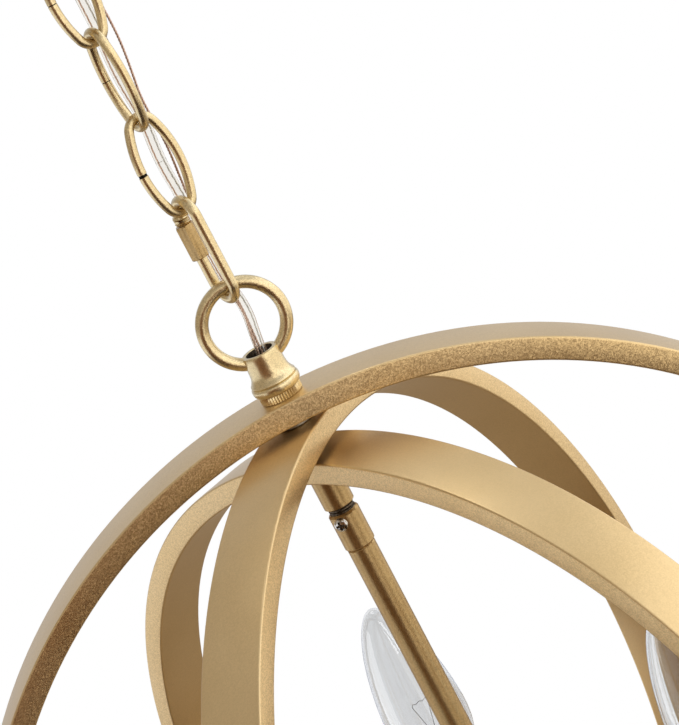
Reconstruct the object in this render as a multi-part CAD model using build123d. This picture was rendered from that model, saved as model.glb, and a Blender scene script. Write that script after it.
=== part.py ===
from build123d import *
import math
import os

# Chandelier: three nested hoops on one polar axis, hung from a ceiling canopy by a short chain.
# Millimetres. The origin is the middle of the ceiling plane, +Z up, and the lamp hangs below it.
# The outer hoop lies in the XZ plane, and the other pieces are turned from it about Z.

# Ceiling canopy and its crossbar
CANOPY_DIAMETER = 120.0
CANOPY_DEPTH = 23.0
CANOPY_WALL = 1.2
CANOPY_EDGE = 16.0
CANOPY_LIP = 3.0
CROSSBAR_LENGTH = 102.0
CROSSBAR_WIDTH = 20.0
CROSSBAR_THICKNESS = 2.0
BOX_SCREW_SPACING = 79.4
BOX_SLOT_LENGTH = 14.3
BOX_SLOT_WIDTH = 4.8
LOCKNUT_FLATS = 14.0
LOCKNUT_HEIGHT = 4.0
GROUND_SCREW_PLACE = 19.0
GROUND_SCREW_SHANK = 3.4
GROUND_SCREW_HEAD = 7.0
GROUND_SCREW_HEAD_HEIGHT = 2.2

# Threaded tube that the lamp is stacked on, and the clearances round it
NIPPLE_DIAMETER = 10.2
NIPPLE_BORE = 7.0
THREAD_CLEARANCE = 0.1
SWIVEL_CLEARANCE = 0.2
SEAT_CLEARANCE = 0.3

# Cast loop: a ring that grows out of a hollow flared body
LOOP_RING_DIAMETER = 35.6
LOOP_RING_WIRE = 4.9
LOOP_RING_HEIGHT = 27.3
LOOP_BODY_HEIGHT = 15.8
LOOP_RIM_DIAMETER = 14.2
LOOP_FLANGE_DIAMETER = 18.8
LOOP_FLANGE_HEIGHT = 3.6
LOOP_FLARE_HEIGHT = 8.2
LOOP_GROOVE = 0.5
LOOP_THREAD_LENGTH = 9.0
COLLAR_DIAMETER = 16.1
COLLAR_HEIGHT = 3.2
COLLAR_CHAMFER = 0.4

# Chain of oval links, whose ends butt in the middle of one side
LINK_COUNT = 3
LINK_LENGTH = 41.0
LINK_WIDTH = 19.6
LINK_WIRE = 3.5
LINK_END_RADIUS = 5.5
LINK_BUTT_GAP = 0.35
CHAIN_PLAY = 0.3
CHAIN_TWIST = 24.0

# Quick link with a hexagonal threaded sleeve on one leg
QUICK_LENGTH = 44.0
QUICK_WIDTH = 17.2
QUICK_WIRE = 4.0
QUICK_MOUTH_LOW = 4.0
QUICK_MOUTH_HIGH = 9.0
SLEEVE_LOW = -3.1
SLEEVE_HIGH = 10.4
SLEEVE_FLATS = 6.4
SLEEVE_CLEARANCE = 0.05

# Hoops: flat bands bent to circles, nested with a washer between them
HOOP_RADIUS = 203.0
HOOP_THICKNESS = 9.0
HOOP_WIDTH = 24.0
HOOP_GAP = 2.3
HOOP_EDGE = 0.8
HOOP_TURNS = {"outer_hoop": 0.0, "middle_hoop": 58.8, "inner_hoop": -53.5}
WASHER_DIAMETER = 14.0
WASHER_CLEARANCE = 0.1

# Spacer, coupler and stem under the top of the hoops
SPACER_DIAMETER = 12.0
SPACER_HEIGHT = 15.0
THREAD_SHOWN = 2.4
COUPLER_DIAMETER = 12.0
COUPLER_HEIGHT = 15.5
COUPLER_CHAMFER = 0.9
COUPLER_THREAD_DEPTH = 8.2
COUPLER_SCREW_DROP = 3.2
COUPLER_SCREW_TURN = 242.0
COUPLER_SCREW_SHANK = 3.0
COUPLER_SCREW_HEAD = 5.2
COUPLER_SCREW_HEAD_HEIGHT = 1.8
STEM_DIAMETER = 11.0
STEM_SPIGOT_DIAMETER = 9.0
STEM_SPIGOT_LENGTH = 5.5
STEM_SOCKET_DEPTH = 6.0

# Hub, arms and candles
HUB_DIAMETER = 34.0
HUB_NECK_DIAMETER = 18.0
HUB_NECK_HEIGHT = 8.0
HUB_HEIGHT = 28.0
HUB_WALL = 3.0
HUB_CAP_HEIGHT = 2.4
HUB_NUT_HEIGHT = 4.0
LIGHT_COUNT = 3
FIRST_LIGHT_TURN = 95.7
LIGHT_RADIUS = 92.6
ARM_DIAMETER = 8.0
ARM_BORE = 6.0
ARM_BEND_RADIUS = 24.0
ARM_RISE = 33.5
ARM_THROUGH_CUP = 3.0
CUP_DIAMETER = 36.0
CUP_HEIGHT = 9.0
CUP_WALL = 1.2
CUP_BASE_DIAMETER = 26.0
CANDLE_DIAMETER = 23.0
CANDLE_WALL = 1.0
CANDLE_HEIGHT = 86.0
CANDLE_LIP = 3.6
SOCKET_DIAMETER = 18.5
SOCKET_HEIGHT = 38.0
SOCKET_POST_DIAMETER = 8.0

# Candle bulb: blown glass, screw cap and the mount that carries its filament
BULB_TIP_ABOVE_CENTRE = 77.4
BULB_GLASS_HEIGHT = 82.0
BULB_DIAMETER = 35.0
BULB_WIDEST_BELOW_TIP = 54.0
BULB_TIP_BLUNTNESS = 0.56
BULB_SIDE_CURVE = 1.7
BULB_NECK_CURVE = 2.4
BULB_NECK_DIAMETER = 12.4
BULB_GLASS_WALL = 0.8
CAP_DIAMETER = 11.9
CAP_HEIGHT = 16.4
CAP_RIM_DIAMETER = 13.2
CAP_RIM_HEIGHT = 2.0
CAP_CONTACT_DIAMETER = 6.0
CAP_CONTACT_HEIGHT = 2.6
BULB_MOUNT_DIAMETER = 5.0
BULB_MOUNT_HEIGHT = 22.0
FILAMENT_HEIGHT = 40.0
FILAMENT_SPREAD = 9.0
FILAMENT_WIRE = 0.8

# Finial under the hoops
FINIAL_DIAMETER = 20.0
FINIAL_NECK_DIAMETER = 14.0
FINIAL_HEIGHT = 22.0
FINIAL_THREAD_DEPTH = 11.0
TAIL_DIAMETER = 12.7

# Free cords beside the chain, as points from the canopy to the lamp
CORD_WIDTH = 4.2
CORD_THICKNESS = 2.1
GROUND_WIRE_DIAMETER = 1.2
CORD_ARC_SHARE = 0.45
POWER_CORD_ROUTE = [
    (0.0, 0.2, -35.5), (0.3, 0.6, -44.5), (1.6, 3.4, -55.5), (2.9, 6.0, -67.0), (2.5, 5.2, -83.5),
    (2.4, 5.8, -100.0), (1.1, 4.9, -117.0), (2.3, 6.0, -133.7), (-0.4, 5.0, -150.5),
    (3.2, 5.9, -167.2), (3.8, 6.3, -184.0), (3.0, 5.9, -201.6), (3.4, 4.2, -212.5),
    (1.2, 1.1, -223.5), (0.3, 0.2, -233.0),
]
GROUND_WIRE_ROUTE = [
    (0.4, 3.0, -35.5), (0.7, 3.5, -44.5), (3.6, 6.9, -55.0), (6.4, 9.3, -67.0), (7.5, 8.7, -82.0),
    (7.9, 8.3, -97.0), (7.7, 8.0, -107.0), (6.3, 7.9, -118.0), (4.9, 8.2, -127.0),
    (5.0, 8.4, -137.0), (5.2, 7.4, -147.0), (3.9, 7.6, -157.5), (2.6, 8.3, -167.0),
    (2.3, 8.6, -178.0), (2.5, 8.7, -190.0), (2.6, 8.3, -201.5), (2.2, 6.6, -212.5),
    (1.0, 3.9, -223.5), (0.6, 3.0, -233.0),
]

# Levels worked out from the stack, from the ceiling down
THREAD_HOLE = NIPPLE_DIAMETER + 2 * THREAD_CLEARANCE
SWIVEL_HOLE = NIPPLE_DIAMETER + 2 * SWIVEL_CLEARANCE
LOOP_RING_RADIUS = (LOOP_RING_DIAMETER - LOOP_RING_WIRE) / 2
LINK_PITCH = LINK_LENGTH - LINK_WIRE
QUICK_PITCH = QUICK_LENGTH - QUICK_WIRE
CANOPY_SEAT = -CANOPY_DEPTH - COLLAR_HEIGHT
CANOPY_LOOP_BOTTOM = CANOPY_SEAT - LOOP_RING_HEIGHT - LOOP_RING_RADIUS
FIRST_LINK_TOP = CANOPY_LOOP_BOTTOM + (LOOP_RING_WIRE + LINK_WIRE) / 2 + CHAIN_PLAY
LINK_STEP = LINK_PITCH - LINK_WIRE - CHAIN_PLAY
LAST_LINK_BOTTOM = FIRST_LINK_TOP - (LINK_COUNT - 1) * LINK_STEP - LINK_PITCH
QUICK_TOP = LAST_LINK_BOTTOM + (LINK_WIRE + QUICK_WIRE) / 2 + CHAIN_PLAY
QUICK_BOTTOM = QUICK_TOP - QUICK_PITCH
QUICK_CENTRE = QUICK_TOP - QUICK_PITCH / 2
LAMP_RING_TOP = QUICK_BOTTOM + (QUICK_WIRE + LOOP_RING_WIRE) / 2 + CHAIN_PLAY
LAMP_LOOP_SEAT = LAMP_RING_TOP - LOOP_RING_RADIUS - LOOP_RING_HEIGHT
POLE = LAMP_LOOP_SEAT - COLLAR_HEIGHT
CENTRE = POLE - HOOP_RADIUS
HOOP_STEP = HOOP_THICKNESS + HOOP_GAP
HOOP_RADII = {name: HOOP_RADIUS - i * HOOP_STEP for i, name in enumerate(HOOP_TURNS)}
INNERMOST = HOOP_RADII["inner_hoop"] - HOOP_THICKNESS
SPACER_TOP = CENTRE + INNERMOST - SEAT_CLEARANCE
SPACER_BOTTOM = SPACER_TOP - SPACER_HEIGHT
COUPLER_TOP = SPACER_BOTTOM - THREAD_SHOWN
COUPLER_BOTTOM = COUPLER_TOP - COUPLER_HEIGHT
BULB_SEAT = CENTRE + BULB_TIP_ABOVE_CENTRE - BULB_GLASS_HEIGHT
CANDLE_BOTTOM = BULB_SEAT + CANDLE_LIP - CANDLE_HEIGHT
CUP_FLOOR = CANDLE_BOTTOM
ARM_TOP = CUP_FLOOR + ARM_THROUGH_CUP
ARM_LEVEL = ARM_TOP - ARM_RISE
HUB_TOP = ARM_LEVEL + (HUB_NECK_HEIGHT + HUB_WALL + HUB_HEIGHT) / 2
HUB_BOTTOM = HUB_TOP - HUB_HEIGHT
HUB_CEILING = HUB_TOP - HUB_NECK_HEIGHT - HUB_WALL
SOCKET_TOP = BULB_SEAT - CAP_RIM_HEIGHT - SEAT_CLEARANCE
SOCKET_FLOOR = BULB_SEAT - CAP_RIM_HEIGHT - CAP_HEIGHT - CAP_CONTACT_HEIGHT - SEAT_CLEARANCE
TAIL_BOTTOM = CENTRE - INNERMOST + SEAT_CLEARANCE
BOTTOM_POLE = CENTRE - HOOP_RADIUS
FINIAL_SEAT = BOTTOM_POLE - COLLAR_HEIGHT


def turned(points):
    """Solid of revolution about Z from an outline of (radius, height) points."""
    return revolve(Plane.XZ * make_face(Polyline(*points, close=True)), Axis.Z)


def tube(outer, inner, low, high):
    """Upright tube between two levels."""
    return Pos(0, 0, low) * extrude(Circle(outer / 2) - Circle(inner / 2), high - low)


def hex_nut(flats, bore, low, high):
    """Hexagonal prism with a round hole."""
    outline = RegularPolygon(flats / 2, 6, major_radius=False)
    return Pos(0, 0, low) * extrude(outline - Circle(bore / 2), high - low)


def wire_along(path, diameter):
    """Round bar that follows a path."""
    section = Plane(origin=path @ 0, z_dir=path % 0) * Circle(diameter / 2)
    return sweep(section, path=path)


# Ceiling canopy

def dish(radius, depth, edge):
    """Solid inside of the canopy's outline: a straight lip, a round edge and a flat middle."""
    drop = depth - CANOPY_LIP
    middle = (radius - edge * 0.31, -CANOPY_LIP - drop * 0.7)
    outline = Polyline((radius - edge, -depth), (0, -depth), (0, 0), (radius, 0), (radius, -CANOPY_LIP))
    outline += ThreePointArc((radius, -CANOPY_LIP), middle, (radius - edge, -depth))
    return revolve(Plane.XZ * make_face(outline), Axis.Z)


def make_canopy():
    outside = dish(CANOPY_DIAMETER / 2, CANOPY_DEPTH, CANOPY_EDGE)
    inside = dish(CANOPY_DIAMETER / 2 - CANOPY_WALL, CANOPY_DEPTH - CANOPY_WALL, CANOPY_EDGE)
    return outside - inside - Pos(0, 0, -CANOPY_DEPTH) * Cylinder(THREAD_HOLE / 2, CANOPY_DEPTH)


def make_crossbar():
    plan = RectangleRounded(CROSSBAR_LENGTH, CROSSBAR_WIDTH, CROSSBAR_WIDTH / 4)
    slot = SlotOverall(BOX_SLOT_LENGTH, BOX_SLOT_WIDTH)
    plan -= Pos(BOX_SCREW_SPACING / 2, 0) * slot
    plan -= Pos(-BOX_SCREW_SPACING / 2, 0) * slot
    plan -= Circle(THREAD_HOLE / 2)
    plan -= Pos(GROUND_SCREW_PLACE, 0) * Circle(GROUND_SCREW_SHANK / 2 + THREAD_CLEARANCE)
    return Pos(0, 0, -CROSSBAR_THICKNESS) * extrude(plan, CROSSBAR_THICKNESS)


def make_ground_screw():
    head_top = -CROSSBAR_THICKNESS
    head = Pos(0, 0, head_top - GROUND_SCREW_HEAD_HEIGHT) * extrude(
        Circle(GROUND_SCREW_HEAD / 2), GROUND_SCREW_HEAD_HEIGHT)
    shank = Pos(0, 0, head_top) * extrude(Circle(GROUND_SCREW_SHANK / 2), CROSSBAR_THICKNESS)
    return Pos(GROUND_SCREW_PLACE, 0, 0) * (head + shank)


# Cast loop and knurled collar, made upright on their seat

def make_loop():
    flange = LOOP_FLANGE_DIAMETER / 2
    neck = flange - LOOP_GROOVE
    rim = LOOP_RIM_DIAMETER / 2
    foot = LOOP_FLANGE_HEIGHT + LOOP_GROOVE
    waist = (rim + (neck - rim) * 0.3, foot + (LOOP_FLARE_HEIGHT - foot) * 0.42)
    outline = Polyline((rim, LOOP_FLARE_HEIGHT), (rim, LOOP_BODY_HEIGHT), (0, LOOP_BODY_HEIGHT), (0, 0),
                       (flange - LOOP_GROOVE, 0), (flange, LOOP_GROOVE),
                       (flange, LOOP_FLANGE_HEIGHT - LOOP_GROOVE), (neck - LOOP_GROOVE, LOOP_FLANGE_HEIGHT),
                       (neck, foot))
    outline += ThreePointArc((neck, foot), waist, (rim, LOOP_FLARE_HEIGHT))
    body = revolve(Plane.XZ * make_face(outline), Axis.Z)
    ring = Pos(0, 0, LOOP_RING_HEIGHT) * Rot(90, 0, 0) * Torus(LOOP_RING_RADIUS, LOOP_RING_WIRE / 2)
    mouth = Pos(0, 0, LOOP_BODY_HEIGHT) * Cylinder(THREAD_HOLE / 2, 4 * LOOP_RING_WIRE)
    bore = Pos(0, 0, LOOP_BODY_HEIGHT / 2) * Cylinder(THREAD_HOLE / 2, LOOP_BODY_HEIGHT + 2)
    return body + ring - bore - mouth


def make_collar():
    outer = COLLAR_DIAMETER / 2
    hole = THREAD_HOLE / 2
    return turned([(hole, 0), (outer - COLLAR_CHAMFER, 0), (outer, COLLAR_CHAMFER),
                   (outer, COLLAR_HEIGHT - COLLAR_CHAMFER), (outer - COLLAR_CHAMFER, COLLAR_HEIGHT),
                   (hole, COLLAR_HEIGHT)])


# Chain

def make_link():
    """Oval of four tangent arcs in the XZ plane, open at the butt joint in its -X side."""
    half_length = LINK_PITCH / 2
    half_width = (LINK_WIDTH - LINK_WIRE) / 2
    rise = half_length - LINK_END_RADIUS
    spare = half_width - LINK_END_RADIUS
    offset = (rise**2 - spare**2) / (2 * spare)
    side_radius = offset + half_width
    turn = math.degrees(math.atan2(rise, offset))
    gap = math.degrees(LINK_BUTT_GAP / 2 / side_radius)
    arcs = [
        CenterArc((offset, 0), side_radius, 180 - gap, gap - turn),
        CenterArc((0, rise), LINK_END_RADIUS, 180 - turn, 2 * turn - 180),
        CenterArc((-offset, 0), side_radius, turn, -2 * turn),
        CenterArc((0, -rise), LINK_END_RADIUS, -turn, 2 * turn - 180),
        CenterArc((offset, 0), side_radius, 180 + turn, gap - turn),
    ]
    return wire_along(Plane.XZ * Wire(arcs), LINK_WIRE)


def make_quick_link():
    """Long ring in the XZ plane, open in its -X leg where the sleeve bridges the mouth."""
    half_width = (QUICK_WIDTH - QUICK_WIRE) / 2
    rise = QUICK_PITCH / 2 - half_width
    path = [
        Line((-half_width, QUICK_MOUTH_HIGH), (-half_width, rise)),
        CenterArc((0, rise), half_width, 180, -180),
        Line((half_width, rise), (half_width, -rise)),
        CenterArc((0, -rise), half_width, 0, -180),
        Line((-half_width, -rise), (-half_width, QUICK_MOUTH_LOW)),
    ]
    return wire_along(Plane.XZ * Wire(path), QUICK_WIRE)


def make_quick_sleeve():
    leg = (QUICK_WIDTH - QUICK_WIRE) / 2
    return Pos(-leg, 0, 0) * hex_nut(SLEEVE_FLATS, QUICK_WIRE + 2 * SLEEVE_CLEARANCE, SLEEVE_LOW, SLEEVE_HIGH)


# Hoops

def make_hoop(name):
    outer = HOOP_RADII[name]
    inner = outer - HOOP_THICKNESS
    half = HOOP_WIDTH / 2
    e = HOOP_EDGE
    section = Polyline((inner + e, -half), (outer - e, -half), (outer, e - half), (outer, half - e),
                       (outer - e, half), (inner + e, half), (inner, half - e), (inner, e - half), close=True)
    band = revolve(make_face(section), Axis.Y) - Cylinder(SWIVEL_HOLE / 2, 3 * outer)
    return Pos(0, 0, CENTRE) * Rot(0, 0, HOOP_TURNS[name]) * band


def make_washers(side):
    """Flat washers between the hoops, at the top (side 1) or the bottom (side -1) of the lamp."""
    washers = []
    for name in ("middle_hoop", "inner_hoop"):
        near = CENTRE + side * (HOOP_RADII[name] + WASHER_CLEARANCE)
        far = CENTRE + side * (HOOP_RADII[name] + HOOP_GAP - SEAT_CLEARANCE)
        washers.append(tube(WASHER_DIAMETER, THREAD_HOLE, min(near, far), max(near, far)))
    return Compound(children=washers)


# Stem

def make_coupler():
    radius = COUPLER_DIAMETER / 2
    bevel = COUPLER_CHAMFER
    body = turned([(0, COUPLER_BOTTOM), (radius - bevel, COUPLER_BOTTOM), (radius, COUPLER_BOTTOM + bevel),
                   (radius, COUPLER_TOP - bevel), (radius - bevel, COUPLER_TOP), (0, COUPLER_TOP)])
    body -= Pos(0, 0, COUPLER_TOP) * Cylinder(THREAD_HOLE / 2, 2 * COUPLER_THREAD_DEPTH)
    body -= Pos(0, 0, COUPLER_BOTTOM) * Cylinder(NIPPLE_BORE / 2, 3 * COUPLER_HEIGHT)
    socket = STEM_SPIGOT_DIAMETER / 2 + THREAD_CLEARANCE
    body -= Pos(0, 0, COUPLER_BOTTOM) * Cylinder(socket, 2 * STEM_SOCKET_DEPTH)
    return body - radial_pin(COUPLER_SCREW_SHANK + 2 * THREAD_CLEARANCE, 0, COUPLER_DIAMETER)


def radial_pin(diameter, start, end):
    """Round pin that points out of the coupler at the screw's place."""
    direction = Rot(0, 0, COUPLER_SCREW_TURN) * Rot(0, 90, 0)
    pin = Pos(0, 0, start) * extrude(Circle(diameter / 2), end - start)
    return Pos(0, 0, COUPLER_TOP - COUPLER_SCREW_DROP) * direction * pin


def make_coupler_screw():
    surface = COUPLER_DIAMETER / 2
    shank = radial_pin(COUPLER_SCREW_SHANK, NIPPLE_DIAMETER / 2 + THREAD_CLEARANCE, surface)
    return shank + radial_pin(COUPLER_SCREW_HEAD, surface, surface + COUPLER_SCREW_HEAD_HEIGHT)


def make_stem():
    shaft = tube(STEM_DIAMETER, NIPPLE_BORE, HUB_TOP - STEM_SOCKET_DEPTH, COUPLER_BOTTOM)
    spigot = tube(STEM_SPIGOT_DIAMETER, NIPPLE_BORE, COUPLER_BOTTOM, COUPLER_BOTTOM + STEM_SPIGOT_LENGTH)
    return shaft + spigot


# Hub and arms

def light_turns():
    return [FIRST_LIGHT_TURN - i * 360 / LIGHT_COUNT for i in range(LIGHT_COUNT)]


def arm_path():
    start = HUB_DIAMETER / 2 - HUB_WALL
    bend = LIGHT_RADIUS - ARM_BEND_RADIUS
    return Plane.XZ * Wire([
        Line((start, ARM_LEVEL), (bend, ARM_LEVEL)),
        CenterArc((bend, ARM_LEVEL + ARM_BEND_RADIUS), ARM_BEND_RADIUS, -90, 90),
        Line((LIGHT_RADIUS, ARM_LEVEL + ARM_BEND_RADIUS), (LIGHT_RADIUS, ARM_TOP)),
    ])


def make_arm():
    path = arm_path()
    section = Plane(origin=path @ 0, z_dir=path % 0) * (Circle(ARM_DIAMETER / 2) - Circle(ARM_BORE / 2))
    return sweep(section, path=path)


def make_hub():
    radius = HUB_DIAMETER / 2
    neck = HUB_NECK_DIAMETER / 2
    cavity = radius - HUB_WALL
    shoulder = HUB_TOP - HUB_NECK_HEIGHT
    cap_level = HUB_BOTTOM + HUB_CAP_HEIGHT
    bore = NIPPLE_BORE / 2
    body = turned([(bore, HUB_TOP), (neck, HUB_TOP), (neck, shoulder + HUB_WALL),
                   (radius, shoulder - HUB_WALL), (radius, cap_level), (cavity, cap_level),
                   (cavity, HUB_CEILING), (bore, HUB_CEILING)])
    body -= Pos(0, 0, HUB_TOP) * Cylinder(STEM_DIAMETER / 2 + THREAD_CLEARANCE, 2 * STEM_SOCKET_DEPTH)
    for turn in light_turns():
        hole = extrude(Circle(ARM_DIAMETER / 2 + THREAD_CLEARANCE), HUB_DIAMETER)
        body -= Rot(0, 0, turn) * Pos(0, 0, ARM_LEVEL) * Rot(0, 90, 0) * hole
    return body


def make_cup():
    """Dish that the candle stands in, made round the Z axis."""
    base = CUP_BASE_DIAMETER / 2
    rim = CUP_DIAMETER / 2
    hole = SOCKET_POST_DIAMETER / 2 + THREAD_CLEARANCE
    low = CUP_FLOOR - CUP_WALL
    return turned([(hole, low), (base, low), (rim, low + CUP_HEIGHT), (rim - CUP_WALL, low + CUP_HEIGHT),
                   (base - CUP_WALL / 2, CUP_FLOOR), (hole, CUP_FLOOR)])


def make_socket():
    """Lampholder on its post, with the well that takes the bulb's cap."""
    well = CAP_DIAMETER / 2 + SEAT_CLEARANCE
    body = SOCKET_DIAMETER / 2
    post = SOCKET_POST_DIAMETER / 2
    low = SOCKET_TOP - SOCKET_HEIGHT
    return turned([(0, SOCKET_FLOOR), (well, SOCKET_FLOOR), (well, SOCKET_TOP), (body, SOCKET_TOP),
                   (body, low), (post, low), (post, ARM_TOP), (0, ARM_TOP)])


# Bulb, made round the Z axis

def glass_outline(inset):
    """Side of the glass from tip to neck, drawn in by a wall: a blunt tip, full sides, a narrow neck."""
    tip = CENTRE + BULB_TIP_ABOVE_CENTRE - inset
    widest = BULB_DIAMETER / 2 - inset
    neck = BULB_NECK_DIAMETER / 2 - inset
    upper = BULB_WIDEST_BELOW_TIP - inset
    lower = BULB_GLASS_HEIGHT - BULB_WIDEST_BELOW_TIP
    points = [(0, tip)]
    for share in (0.04, 0.1, 0.2, 0.4, 0.7, 1.0):
        radius = widest * (1 - (1 - share) ** BULB_SIDE_CURVE) ** BULB_TIP_BLUNTNESS
        points.append((radius, tip - share * upper))
    for share in (0.36, 0.68, 0.88, 1.0):
        radius = neck + (widest - neck) * (1 - share ** BULB_NECK_CURVE)
        points.append((radius, tip - upper - share * lower))
    return Spline(*points, tangents=[(1, 0), (-0.6, -1)])


def make_glass():
    outside = glass_outline(0)
    inside = glass_outline(BULB_GLASS_WALL)
    section = make_face([outside, inside, Line(outside @ 0, inside @ 0), Line(outside @ 1, inside @ 1)])
    return revolve(Plane.XZ * section, Axis.Z)


def make_cap():
    rim_low = BULB_SEAT - CAP_RIM_HEIGHT
    shell_low = rim_low - CAP_HEIGHT
    contact_low = shell_low - CAP_CONTACT_HEIGHT
    rim, shell, contact = CAP_RIM_DIAMETER / 2, CAP_DIAMETER / 2, CAP_CONTACT_DIAMETER / 2
    return turned([(0, BULB_SEAT), (rim, BULB_SEAT), (rim, rim_low), (shell, rim_low), (shell, shell_low),
                   (contact, contact_low), (0, contact_low)])


def make_filament():
    """Glass mount with two lead wires and the filament between their tips."""
    radius = BULB_MOUNT_DIAMETER / 2
    mount_top = BULB_SEAT + BULB_MOUNT_HEIGHT
    filament = BULB_SEAT + FILAMENT_HEIGHT
    mount = turned([(0, BULB_SEAT), (radius, BULB_SEAT), (radius, BULB_SEAT + BULB_MOUNT_HEIGHT * 0.7),
                    (radius * 0.6, mount_top), (0, mount_top)])
    half = FILAMENT_SPREAD / 2
    start = mount_top - FILAMENT_WIRE
    path = Plane.XZ * FilletPolyline((-radius * 0.3, start), (-half, filament), (half, filament),
                                     (radius * 0.3, start), radius=FILAMENT_WIRE * 2)
    return mount + wire_along(path, FILAMENT_WIRE)


# Finial

def make_finial():
    """Turned cap nut: a short foot, a neck and a ball."""
    ball = FINIAL_DIAMETER / 2
    neck = FINIAL_NECK_DIAMETER / 2
    foot = COLLAR_DIAMETER / 2 - COLLAR_CHAMFER
    low = FINIAL_SEAT - FINIAL_HEIGHT
    equator = low + ball
    joint = (neck, equator + math.sqrt(ball**2 - neck**2))
    outline = Polyline((0, low), (0, FINIAL_SEAT), (foot, FINIAL_SEAT), (foot, FINIAL_SEAT - 1), joint)
    outline += ThreePointArc(joint, (ball, equator), (0, low))
    body = revolve(Plane.XZ * make_face(outline), Axis.Z)
    return body - Pos(0, 0, FINIAL_SEAT) * Cylinder(THREAD_HOLE / 2, 2 * FINIAL_THREAD_DEPTH)


# Cords

def cord_path(name, route):
    """Straight runs joined by tangent arcs as large as the runs allow."""
    points = [Vector(*p) for p in route]
    runs = [b - a for a, b in zip(points, points[1:])]
    radii = []
    for before, after in zip(runs, runs[1:]):
        half_turn = math.radians(before.get_angle(after)) / 2
        radii.append(CORD_ARC_SHARE * min(before.length, after.length) / math.tan(half_turn))
    print(name, "arc radii", [round(r, 1) for r in radii])
    return FilletPolyline(*points, radius=radii)


def make_power_cord():
    path = cord_path("power_cord", POWER_CORD_ROUTE)
    start = Plane(origin=path @ 0, x_dir=(1, 0, 0), z_dir=path % 0)
    section = start * SlotOverall(CORD_WIDTH, CORD_THICKNESS)
    cord = sweep(section, path=path)
    print("power_cord volume over section times length", round(cord.volume / section.area / path.length, 4))
    return cord


def make_ground_wire():
    path = cord_path("ground_wire", GROUND_WIRE_ROUTE)
    wire = wire_along(path, GROUND_WIRE_DIAMETER)
    area = math.pi * GROUND_WIRE_DIAMETER**2 / 4
    print("ground_wire volume over section times length", round(wire.volume / area / path.length, 4))
    return wire


def build_parts():
    bar_face = -CROSSBAR_THICKNESS
    nipple_end = CANOPY_SEAT - LOOP_THREAD_LENGTH
    parts = {
        "crossbar": make_crossbar(),
        "crossbar_locknut": hex_nut(LOCKNUT_FLATS, THREAD_HOLE, bar_face - LOCKNUT_HEIGHT, bar_face),
        "ground_screw": make_ground_screw(),
        "canopy": make_canopy(),
        "canopy_nipple": tube(NIPPLE_DIAMETER, NIPPLE_BORE, nipple_end, -THREAD_CLEARANCE),
        "canopy_collar": Pos(0, 0, CANOPY_SEAT) * make_collar(),
        "canopy_loop": Pos(0, 0, CANOPY_SEAT) * Rot(0, 0, CHAIN_TWIST - 90) * Rot(180, 0, 0) * make_loop(),
        "power_cord": make_power_cord(),
        "ground_wire": make_ground_wire(),
    }
    for i in range(LINK_COUNT):
        centre = FIRST_LINK_TOP - i * LINK_STEP - LINK_PITCH / 2
        turn = CHAIN_TWIST - 90 * (i % 2)
        parts[f"chain_link_{i + 1}"] = Pos(0, 0, centre) * Rot(0, 0, turn) * make_link()
    quick = Pos(0, 0, QUICK_CENTRE) * Rot(0, 0, CHAIN_TWIST - 90 * (LINK_COUNT % 2))
    parts["quick_link"] = quick * make_quick_link()
    parts["quick_link_sleeve"] = quick * make_quick_sleeve()

    nipple_top = LAMP_LOOP_SEAT + LOOP_THREAD_LENGTH
    nipple_bottom = COUPLER_TOP - COUPLER_THREAD_DEPTH + THREAD_CLEARANCE
    parts["lamp_loop"] = Pos(0, 0, LAMP_LOOP_SEAT) * make_loop()
    parts["lamp_collar"] = Pos(0, 0, POLE) * make_collar()
    parts["top_nipple"] = tube(NIPPLE_DIAMETER, NIPPLE_BORE, nipple_bottom, nipple_top)
    for name in HOOP_TURNS:
        parts[name] = make_hoop(name)
    parts["top_washers"] = make_washers(1)
    parts["spacer"] = tube(SPACER_DIAMETER, THREAD_HOLE, SPACER_BOTTOM, SPACER_TOP)
    parts["coupler"] = make_coupler()
    parts["coupler_screw"] = make_coupler_screw()
    parts["stem"] = make_stem()
    parts["hub"] = make_hub()
    cap_level = HUB_BOTTOM + HUB_CAP_HEIGHT
    parts["hub_cap"] = tube(HUB_DIAMETER, THREAD_HOLE, HUB_BOTTOM, cap_level)
    parts["hub_nut"] = hex_nut(LOCKNUT_FLATS, THREAD_HOLE, cap_level, cap_level + HUB_NUT_HEIGHT)
    for i, turn in enumerate(light_turns()):
        n = i + 1
        place = Rot(0, 0, turn) * Pos(LIGHT_RADIUS, 0, 0)
        parts[f"arm_{n}"] = Rot(0, 0, turn) * make_arm()
        parts[f"cup_{n}"] = place * make_cup()
        parts[f"candle_{n}"] = place * tube(CANDLE_DIAMETER, CANDLE_DIAMETER - 2 * CANDLE_WALL,
                                            CANDLE_BOTTOM, CANDLE_BOTTOM + CANDLE_HEIGHT)
        parts[f"socket_{n}"] = place * make_socket()
        parts[f"bulb_glass_{n}"] = place * make_glass()
        parts[f"bulb_cap_{n}"] = place * make_cap()
        parts[f"bulb_filament_{n}"] = place * make_filament()
    parts["tail_tube"] = tube(TAIL_DIAMETER, THREAD_HOLE, TAIL_BOTTOM, HUB_BOTTOM)
    parts["tail_nipple"] = tube(NIPPLE_DIAMETER, NIPPLE_BORE, FINIAL_SEAT - FINIAL_THREAD_DEPTH + 1,
                                cap_level + HUB_NUT_HEIGHT)
    parts["bottom_washers"] = make_washers(-1)
    parts["bottom_collar"] = Pos(0, 0, FINIAL_SEAT) * make_collar()
    parts["finial"] = make_finial()
    return parts


os.makedirs("parts", exist_ok=True)
for node, shape in build_parts().items():
    export_step(shape, f"parts/{node}.step")
print("hoop centre", round(CENTRE, 2), "top pole", round(POLE, 2))
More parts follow.
